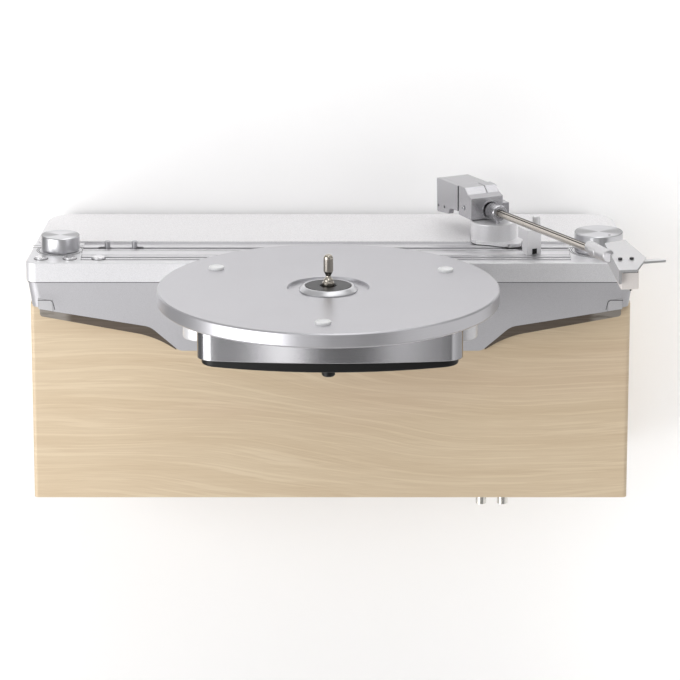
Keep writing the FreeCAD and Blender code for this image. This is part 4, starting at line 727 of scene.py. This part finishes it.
nose = bowed(half=97.5, front=-124, bow=8.5, back=3, low=-41, high=-4, radius=10.5)
soften(nose, 0.6 / MM, 3, 40)
nose.transform(DECK)
show("housing_nose", nose, "base", "cast_silver", finish=finishes["housing_silver"])
block = slab([(-109, -100), (109, -100), (109, 3), (-109, 3)], -34, -4, DECK, [(0, 14.5), (1, 14.5)],
             width=2.0, angle=40, segments=12)
show("housing_block", block, "base", "cast_silver", ["platter_housing"])
foot = bowed(half=94.3, front=-121.8, bow=8.4, back=0.5, low=-46.0, high=-40.5, radius=9.0, crown=2.7)
soften(foot, 1.6 / MM, 4, 40)
foot.transform(DECK)
show("housing_foot", foot, "base", "dark_base", ["housing_base"])
nodes["thrust_screw"].data.materials[0] = finishes["dark_base"].material
print("housing made")

# %% [markdown]
# The two knobs are plain turned drums with a crisp chamfer and a faintly dished, lathe-faced top, which
# carries a painted sheen. Each stands inside a pair of fine dark rings, painted shade for two grooves cut in
# the deck, and the right one has a dot to read it by.

# %% Knobs
def ring(inner, outer, x, y, steps=96):
    """A thin ring let into the deck's top, which stands a hair above it."""
    return turned([(inner, -0.1), (outer, -0.1), (outer, 0.06), (inner, 0.06)], x, y, steps)


def knob(side, x, y, radius, top, finish):
    profile = [(0, top - 2.0), (3, top - 2.0), (3, 0.4), (radius - 0.9, 0.4), (radius - 0.5, 0.9),
               (radius - 0.5, 1.5), (radius, 1.8), (radius, top - 0.7), (radius - 0.6, top),
               (radius - 1.5, top), (radius - 1.7, top - 0.15), (0, top - 0.4)]
    show(side + "_knob_drum", turned(profile, x, y, 128, 0.1), side + "_knob", "knob_silver",
         [side + "_knob"], finish=finish)
    # Painted shade: two dark rings for the grooves round the knob.
    lines = merged("rings", [ring(radius + 1.6, radius + 2.2, x, y), ring(radius + 3.1, radius + 3.6, x, y)])
    show(side + "_knob_rings", lines, "base", "dark_cover", finish=finishes["groove_grey"])


# Painted shade: this dark grey stands for the shade inside fine gaps, grooves and seams; the weight's screw
# heads take it too.
finishes["groove_grey"] = silver_finish("groove_grey", (0.13, 0.13, 0.135), 0.4, 0.45)
knob("left", *LEFT_KNOB_AT, 14.8, LEFT_KNOB_TOP, finishes["knob_silver"])
knob("right", *RIGHT_KNOB_AT, 18.6, RIGHT_KNOB_TOP, finishes["knob_silver_right"])
dot = turned([(0, 15.0), (1.1, 15.0), (1.1, 15.25), (0, 15.25)],
             RIGHT_KNOB_AT[0] + 7.5, RIGHT_KNOB_AT[1] - 11.5, 24, 0.05)
show("right_knob_dot", dot, "right_knob", "hub_black")
print("knobs turned")

# %% [markdown]
# Three push buttons sit along the left front edge, each a small domed cap inside a thin dark ring, painted
# shade for the gap round it. Two short posts slide in slots behind them; they are turned too, with a rounded
# end.

# %% Buttons and posts
BUTTON_Y = 12.6
POST_Y = 46.5
for name, x in (("button_left", -220.2), ("button_middle", -198.3), ("button_right", -176.4)):
    cap = turned([(0, -15.2), (2, -15.2), (2, -4), (4.75, -4), (4.75, 1.5), (4.45, 1.8), (0, 1.8)],
                 x, BUTTON_Y, 48, 0.06)
    show(name + "_cap", cap, name, "button_silver", [name])
    # Painted shade for the gap round the cap.
    show(name + "_ring", ring(4.85, 5.55, x, BUTTON_Y, 48), "base", "dark_cover",
         finish=finishes["groove_grey"])
for name, x in (("slide_post_left", -171.5), ("slide_post_right", -150.6)):
    post = turned([(0, -7.3), (3.6, -7.3), (3.6, -4.3), (2.2, -4.3), (2.2, 4.9), (1.9, 5.3), (1.2, 5.55),
                   (0, 5.6)], x, POST_Y, 40, 0.06)
    show(name + "_pin", post, name, slot_of[name], [name])
print("buttons and posts turned")

# %% [markdown]
# The deck is two castings, one on the other, and the shade in the joint between them is a fine dark line.
# So is the shade at the edges of the two corner covers and in two grooves behind the knobs. A real gap this
# fine would only be a few rays wide, so each is painted shade: a thin dark strip let into the surface.

# %% Fine dark lines of the deck
SEAM_LOW, SEAM_HIGH = -15.75, -14.9
GROOVE_YS = (46.4, 52.6)
SKIRT_SLOPE = 80


def stripe(points, width, thick, place):
    """A flat strip along a line of (x, y) points, one slab to each length."""
    pieces = []
    for start, end in zip(points, points[1:]):
        start, end = Vector(start), Vector(end)
        side = (end - start).normalized().orthogonal() * width / 2
        pieces.append(slab([start - side, end - side, end + side, start + side], 0, thick, place))
    return merged("stripe", pieces)


# Painted shade: dark strips for the seam between the castings and the gaps round the corner covers.
for name, way in (("left", -1), ("right", 1)):
    outline = [(109.6, 0.72), (230.95, 0.72), (221.4, 148), (218.6, 148), (228, 3.2), (109.6, 3.2)]
    outline = [(way * x, y) for x, y in outline]
    seam = slab(outline, SEAM_LOW, SEAM_HIGH, DECK, [(1, 7.0), (4, 5.0)])
    show("shell_seam_" + name, seam, "base", "dark_cover", finish=finishes["groove_grey"])
    front = DECK @ Matrix.Translation((0, 0.86, -15)) @ Matrix.Rotation(math.radians(SKIRT_SLOPE), 4, "X")
    cover = [(way * 222.2, -14.1), (way * 212.6, -14.1), (way * 210.8, -15.6), (way * 209.3, -21.3)]
    line = stripe(cover, 0.6, 0.12, front)
    show("cover_line_" + name, line, "base", "dark_cover", finish=finishes["groove_grey"])
# Painted shade: dark strips for the grooves behind the knobs.
for name, start, end in (("left", -229, -190.4), ("right", 183.4, 228.6)):
    let_in = DECK @ Matrix.Translation((0, 0, -0.1))
    painted_groove_shades = merged("painted_groove_shades", [stripe([(start, y), (end, y)], 0.8, 0.16, let_in) for y in GROOVE_YS])
    show("deck_grooves_" + name, painted_groove_shades, "base", "dark_cover", finish=finishes["groove_grey"])
print("lines laid")

# %% [markdown]
# The tonearm starts in a block that turns on an upright shaft. The block has a steep bevel and a shallow
# shelf at its front, and a fine joint along its middle, where a thin dark strip is painted shade. Behind it
# sits the counterweight, whose side plate is deeper at the back and is arched so that it clears the pedestal.
# Both are drawn in the arm's own frame, which is turned by 64 degrees from the deck. A square fascia and a
# thin ring close the front of the block round the arm, and the ring is wide enough for the arm to lift in it.

# %% Pivot block and counterweight
FACETED = 16
PIN_HEIGHT = 24.3
PLATE_FACE = 17.6
TURN = Matrix.Rotation(math.radians(ARM_TURN), 4, "Z")
TILT = Matrix.Rotation(math.radians(ARM_TILT), 4, "Y")
PLAN = Matrix.Translation(deck(*PIVOT_AT, 0)) @ SCALE
YOKE = Matrix.Translation(deck(*PIVOT_AT, 0)) @ TURN @ SCALE
WEIGHT = Matrix.Translation(deck(*PIVOT_AT, PIN_HEIGHT)) @ TURN @ TILT @ SCALE
ARM = Matrix.Translation(deck(*PIVOT_AT, TUBE_HEIGHT)) @ TURN @ TILT @ SCALE

block = soften(copy_of("pivot_housing"), 0.7, 3, 15)
show("pivot_block", block, "arm_yoke", "arm_silver", ["pivot_housing"], sharp=FACETED)
# Painted shade: a thin dark strip for the joint along the block's middle.
joint = slab([(-8, 40), (-8, 40.56), (2.05, 40.56), (7.1, 36.06), (6.6, 35.6), (1.8, 40)], -0.3, 0.3,
             YOKE @ ON_SIDE)
show("block_joint", joint, "arm_yoke", "arm_silver", finish=finishes["groove_grey"])
plate = slab([(-43.5, -10.8), (-24.5, -9.3), (-23, -5.6), (-20.5, -4.4), (-9.0, -4.4), (-8.45, 15.9),
              (-43.5, 15.9)], 13, PLATE_FACE, WEIGHT @ ON_SIDE, [(0, 1.5), (2, 1.5)], 0.5)
mass = slab([(-43.5, -4.4), (-8.6, -4.4), (-8.6, 15.9), (-43.5, 15.9)], -10, 13.2, WEIGHT @ ON_SIDE, (), 0.7)
show("weight_plate", plate, "tonearm", "arm_silver", sharp=FACETED)
show("weight_mass", mass, "tonearm", "arm_silver", ["counterweight"], sharp=FACETED)
for number, (x, z) in enumerate(((-41.2, -5.4), (-31, -5.0))):
    screw = turned([(0, -0.2), (1.1, -0.2), (1.1, 0.15), (0.8, 0.25), (0, 0.25)], steps=24,
                   frame_of=WEIGHT @ Matrix.Translation((x, -PLATE_FACE, z)) @ ON_SIDE)
    show("weight_screw_%d" % number, screw, "tonearm", "arm_silver", finish=finishes["groove_grey"])
cap = turned([(0, -0.2), (2.1, -0.2), (2.1, 0.5), (1.8, 0.8), (0.6, 0.8), (0.5, 0.4), (0, 0.4)], steps=32,
             frame_of=YOKE @ Matrix.Translation((0, -17, PIN_HEIGHT)) @ ON_SIDE)
show("pin_cap", cap, "arm_yoke", "arm_silver")
OUT = YOKE @ Matrix.Translation((0, 0, 24.5)) @ Matrix.Rotation(math.radians(90), 4, "Y")
fascia = turned([(7.9, 12.0), (10.1, 12.0), (10.1, 12.95), (7.9, 12.95)], steps=4,
                frame_of=OUT @ Matrix.Rotation(math.radians(45), 4, "Z"))
neck_ring = turned([(6.3, 12.5), (7.95, 12.5), (7.95, 12.9), (7.6, 13.2), (6.6, 13.2), (6.3, 12.9)],
                   steps=48, frame_of=OUT @ Matrix.Translation((0.7, 0, 0)))
show("neck_fascia", fascia, "arm_yoke", "arm_silver", sharp=FACETED)
show("neck_ring", neck_ring, "arm_yoke", "arm_silver")
print("block and weight made")

# %% [markdown]
# The arm itself is a thin polished tube with two dark lines along it, between a short collar at the block
# and a longer one that holds the headshell, and it tilts on a round trunnion inside the block. They are all
# turned, so they are profiles spun about the arm.

# %% Tube and collars
ALONG = ARM @ Matrix.Rotation(math.radians(90), 4, "Y")


def along_arm(name, profile, slot, stands_for=(), width=0.1):
    """A profile of (radius, distance from the pivot) points, spun about the arm."""
    shape = turned(profile, steps=48, width=width, frame_of=ALONG)
    return show(name, shape, "tonearm", slot, stands_for)


along_arm("arm_neck_collar", [(0, 11.5), (3.9, 11.5), (3.9, 14.9), (5.6, 14.9), (6.2, 15.5), (6.2, 27.2),
                              (5.6, 27.9), (3.8, 28.2), (3.4, 27.6), (0, 27.6)], "arm_silver", ["arm_collar"])
along_arm("arm_long_tube", [(0, 27), (TUBE_RADIUS, 27), (TUBE_RADIUS, 174), (0, 174)], "tube_steel",
          ["arm_tube"], width=0)
along_arm("head_collet", [(0, 172.6), (4.2, 172.6), (4.7, 173.2), (4.7, 181.6), (4.5, 181.9), (4.5, 182.3),
                          (4.7, 182.6), (4.7, 196.2), (4.1, 196.8), (0, 196.8)], "head_silver")
along_arm("arm_trunnion", [(0, -7.8), (3.2, -7.8), (3.6, -7.4), (3.6, 11.3), (3.3, 11.6), (3.3, 12), (0, 12)],
          slot_of["arm_pivot_block"], ["arm_pivot_block"])
nub = turned([(0, -8.6), (1.0, -8.6), (1.5, -8.1), (1.5, -5.5), (0, -5.5)], steps=24,
             frame_of=ARM @ Matrix.Translation((24.5, 0, 0)))
show("collar_nub", nub, "tonearm", "arm_silver")
print("tube turned")

# %% [markdown]
# The arm stands on a round pedestal, which is cut flat at the back, with a flange that curves out under it,
# and a thin dark slab under the flange is painted shade for the shadow line beneath it. The drum's outline is
# an arc of points, and the flange's corners are rounded one by one, each with its own radius. Only edges that
# turn by more than ROUND degrees count as edges here, so the drum's side stays smooth.

# %% Pedestal
ROUND = 30
DRUM_AT, DRUM_RADIUS = (8.1, -13.6), 17.6
FLANGE_ROUNDS = [(1, 5), (2, 5), (3, 8), (4, 10), (5, 5), (6, 4), (7, 8)]
drum = [(DRUM_AT[0] + DRUM_RADIUS * math.cos(math.radians(turn)),
         DRUM_AT[1] + DRUM_RADIUS * math.sin(math.radians(turn)))
        for turn in range(180, 361, 6)] + [(21, 9.4), (-9.5, 9.4)]
base_plate = [(-9.6, 9.5), (-9.6, -24.8), (-4.6, -28.9), (7, -31.9), (14, -36.6), (20, -38.6), (28.7, -36.2),
              (28.7, -2.7), (22, 9.5)]
show("pedestal_drum", slab(drum, 0.2, 16, PLAN, (), 0.8, ROUND), "base", "arm_silver", ["arm_pedestal"],
     sharp=ROUND, finish=finishes["rest_silver"])
show("pedestal_flange", slab(base_plate, 0.4, 3, PLAN, FLANGE_ROUNDS, 0.5, ROUND), "base", "arm_silver",
     sharp=ROUND, finish=finishes["rest_silver"])
# Painted shade: a dark slab a little larger than the flange, for the shadow line under it.
shade_line_outline = [(x * 1.01 + 0.1, y * 1.01 - 0.1) for x, y in base_plate]
show("pedestal_shade_line", slab(shade_line_outline, 0.0, 0.45, PLAN, FLANGE_ROUNDS), "base", "dark_base")
print("pedestal made")

# %% [markdown]
# Next to the pedestal is the arm's rest: a block with a thin plate at its side, a dark slab at its foot that
# is painted shade for a notch, and an upright post, which stops the arm. It is three small slabs in the arm's
# frame, since the rest stands square to the arm and not to the deck.

# %% Arm rest
body = slab([(60.2, 2.2), (68.6, 2.2), (68.6, 14.2), (60.2, 14.2)], 0.05, 19.4, YOKE, (), 0.5)
wing = slab([(51.8, 3.0), (60.6, 3.0), (60.6, 5.0), (51.8, 5.0)], 10.5, 19.0, YOKE, (), 0.3)
post = slab([(62.8, 8.5), (68.4, 8.5), (68.4, 14.1), (62.8, 14.1)], 18, 30, YOKE, (), 2.2)
show("rest_block", body, "base", "rest_silver", ["arm_rest"])
show("rest_wing", wing, "base", "rest_silver")
show("rest_post", post, "base", "rest_silver")
# Painted shade for the notch at the rest's foot.
notch = slab([(67.5, 6.4), (68.72, 6.4), (68.72, 10.4), (67.5, 10.4)], 0.6, 4.8, YOKE)
show("rest_notch", notch, "base", "dark_base")
print("rest made")

# %% [markdown]
# The headshell is an angular plate with a wall down its left side and a finger lift at its right. It nods
# a little more than the arm, so its solids are copied, softened and turned together about the end of the
# arm. The cartridge hangs under it on two socket screws, with a thin dark slab at its front that is painted
# shade for a gap, and the tip of the stylus is a small dark block under it.

# %% Headshell and cartridge
HEAD_AT, HEAD_TURN, HEAD_NOD = 197, -20.8, 4.0
AT_END = Matrix.Translation((HEAD_AT, 0, 0)) @ Matrix.Rotation(math.radians(HEAD_TURN), 4, "Z")
OLD_HEAD = WEIGHT @ AT_END
NODDED = ARM @ AT_END @ Matrix.Rotation(math.radians(HEAD_NOD), 4, "Y")
NOD = NODDED @ OLD_HEAD.inverted()
HEAD_SOLIDS = [("headshell", 0.3, (1, 1, 1), None), ("headshell_screws", 0.1, (1, 1, 1), "hub_black"),
               ("cartridge", 0.5, (1, 0.94, 1), None), ("stylus", 0.2, (1, 1, 0.92), None)]
for node, width, size, finish in HEAD_SOLIDS:
    shape = copy_of(node)
    bmesh.ops.scale(shape, vec=size, space=OLD_HEAD.inverted(), verts=shape.verts)
    soften(shape, width, 2, 20)
    shape.transform(NOD)
    show(node + "_soft", shape, "tonearm", slot_of[node], [node], 20, finishes.get(finish))
# Painted shade for the thin gap at the cartridge's front.
gap = slab([(37.2, 4.4), (37.75, 4.4), (37.75, 15.4), (37.2, 15.4)], -1.5, -0.35, NODDED)
tip = slab([(33.6, 9.8), (36.2, 9.8), (36.2, 10.8), (33.6, 10.8)], -15.6, -14.6, NODDED)
show("cartridge_gap", gap, "tonearm", "cartridge_grey", finish=finishes["hub_black"])
show("stylus_tip", tip, "tonearm", "stylus_white", finish=finishes["hub_black"])
print("head made")

# %% [markdown]
# The room is a photographer's corner: a white board on the wall right behind the turntable, because it
# hangs there, and a pale floor far below. A small share of the board is plain white to the camera and in the
# metal; the rest stays matt, so the turntable's own soft shadow shows round it. The board is only as large
# as it needs to be, because polished metal mirrors all of a room, and the darker room beyond it is what
# gives metal its contrast. From behind both sheets are clear, so the turntable's back can be looked at.

# %% Wall and floor
WALL_HALF, WALL_TOP, WALL_BACK = 0.33, 0.9, 0.0004
FLOOR_HALF, FLOOR_FRONT, FLOOR_Z = 1.6, -1.9, -0.8


def room_material(name, share, colour):
    """White to the eye and in reflections for a share of it; the rest is matt and keeps the shadow."""
    material = bpy.data.materials.new(name)
    material.use_nodes = True
    room = Tree(material.node_tree)
    material.node_tree.nodes.clear()
    across = room.parts(room.place())[0]
    # Painted shade: the matt colour is three per cent darker at the left than at the right.
    colour_with_painted_shade = room.mix(across.step(-0.45, 0.45), shaded(colour, 0.97), colour)
    matt = room.node("BsdfDiffuse", None, {"Color": colour_with_painted_shade})
    glow = room.node("Emission", None, {"Color": (1.0, 1.0, 1.0), "Strength": 1.0})
    eye = room.node("LightPath").socket.node.outputs
    seen = Wire(room, eye["Is Camera Ray"]) + Wire(room, eye["Is Glossy Ray"])
    seen = (seen + Wire(room, eye["Is Transmission Ray"])).least(1.0) * share
    front = room.node("MixShader", None, {0: seen, 1: matt, 2: glow})
    behind = Wire(room, room.node("NewGeometry").socket.node.outputs["Backfacing"])
    clear = room.node("BsdfTransparent")
    output = material.node_tree.nodes.new("ShaderNodeOutputMaterial")
    room.feed(output.inputs["Surface"], room.node("MixShader", None, {0: behind, 1: front, 2: clear}))
    return material


def sheet(name, half, start, end, material):
    """A flat sheet between two (y, z) lines, which faces forward or up."""
    mesh = bpy.data.meshes.new(name)
    shape = bmesh.new()
    corners = [(-half, *start), (half, *start), (half, *end), (-half, *end)]
    shape.faces.new([shape.verts.new(corner) for corner in corners])
    shape.to_mesh(mesh)
    shape.free()
    panel = bpy.data.objects.new(name, mesh)
    mesh.materials.append(material)
    bpy.context.scene.collection.objects.link(panel)


sheet("wall", WALL_HALF, (WALL_BACK, FLOOR_Z), (WALL_BACK, WALL_TOP),
      room_material("wall_paint", 0.10, (0.97, 0.965, 0.965)))
sheet("floor", FLOOR_HALF, (FLOOR_FRONT, FLOOR_Z), (WALL_BACK, FLOOR_Z),
      room_material("floor_paint", 0.0, (0.68, 0.675, 0.67)))
print("room built")

# %% [markdown]
# One large soft lamp at the left front does most of the lighting, a second one hangs above, and a weak one
# fills the right side. Three narrow washes only brighten the board, and metal doesn't mirror them. The sky
# gives the metal something to reflect: it is brighter above and at the left, with a low bright patch at the
# right and two upright strips in front, which the platter's housing mirrors as soft bands.

# %% Lamps and the sky
ALL_ROUND = 180


def lamp(name, place, aim, size, power, spread=ALL_ROUND):
    """A soft rectangle of light; one with a narrower spread is a wash that metal doesn't mirror."""
    light = bpy.data.lights.new(name, "AREA")
    light.spread = math.radians(spread)
    light.shape = "RECTANGLE"
    light.size, light.size_y = size
    light.energy = power
    holder = bpy.data.objects.new(name, light)
    holder.location = place
    holder.rotation_euler = (Vector(aim) - Vector(place)).to_track_quat("-Z", "Y").to_euler()
    bpy.context.scene.collection.objects.link(holder)
    holder.visible_glossy = spread == ALL_ROUND


lamp("key_lamp", (-0.95, -0.95, -0.05), (0.0, -0.12, 0.02), (1.1, 1.2), 13.5)
lamp("top_lamp", (0.30, -0.36, 1.15), (0.05, -0.12, 0.0), (1.1, 0.4), 2.6)
lamp("fill_lamp", (1.4, -0.9, 0.4), (0.05, -0.15, 0.0), (0.5, 1.0), 0.5)
lamp("wash_right", (0.62, -0.36, 0.0), (0.34, 0.0, 0.0), (0.15, 0.9), 0.42, 60)
lamp("wash_left", (-0.62, -0.36, 0.0), (-0.34, 0.0, 0.0), (0.15, 0.9), 0.05, 60)
lamp("wash_top", (0.0, -0.28, 0.75), (0.0, 0.0, 0.32), (0.9, 0.12), 0.15, 36)

world = bpy.data.worlds.new("world")
bpy.context.scene.world = world
world.use_nodes = True
sky = Tree(world.node_tree)
east, north, up = sky.parts(sky.node("TexCoord", output=0))
high = up.step(0.0, 0.9)
softbox = (east * -0.87 + north * -0.5).step(0.72, 0.95)
side = (east * 0.96 + north * -0.2).step(0.6, 0.95)
low_right = east.step(0.55, 0.75) * (1 - (up + 0.26).size().step(0.12, 0.28))
slope = east / (north.size() + 0.001)
front = (north * -1).step(0.90, 0.97) * up.step(0.1, -0.1)
left_strip = 1 - (slope + 0.15).size().step(0.03, 0.10)
right_strip = 1 - (slope - 0.22).size().step(0.03, 0.10)
strips = front * ((left_strip + right_strip * 0.55) * 2.0 - 0.20)
level = 0.26 + high * 0.30 + softbox * 0.40 + low_right * 0.70 + side * 0.05 + strips
background = world.node_tree.nodes["Background"]
sky.feed(background.inputs["Strength"], level.most(0.05))
background.inputs["Color"].default_value = (1.0, 0.995, 0.99, 1.0)
print("lamps:", len(bpy.data.lights))
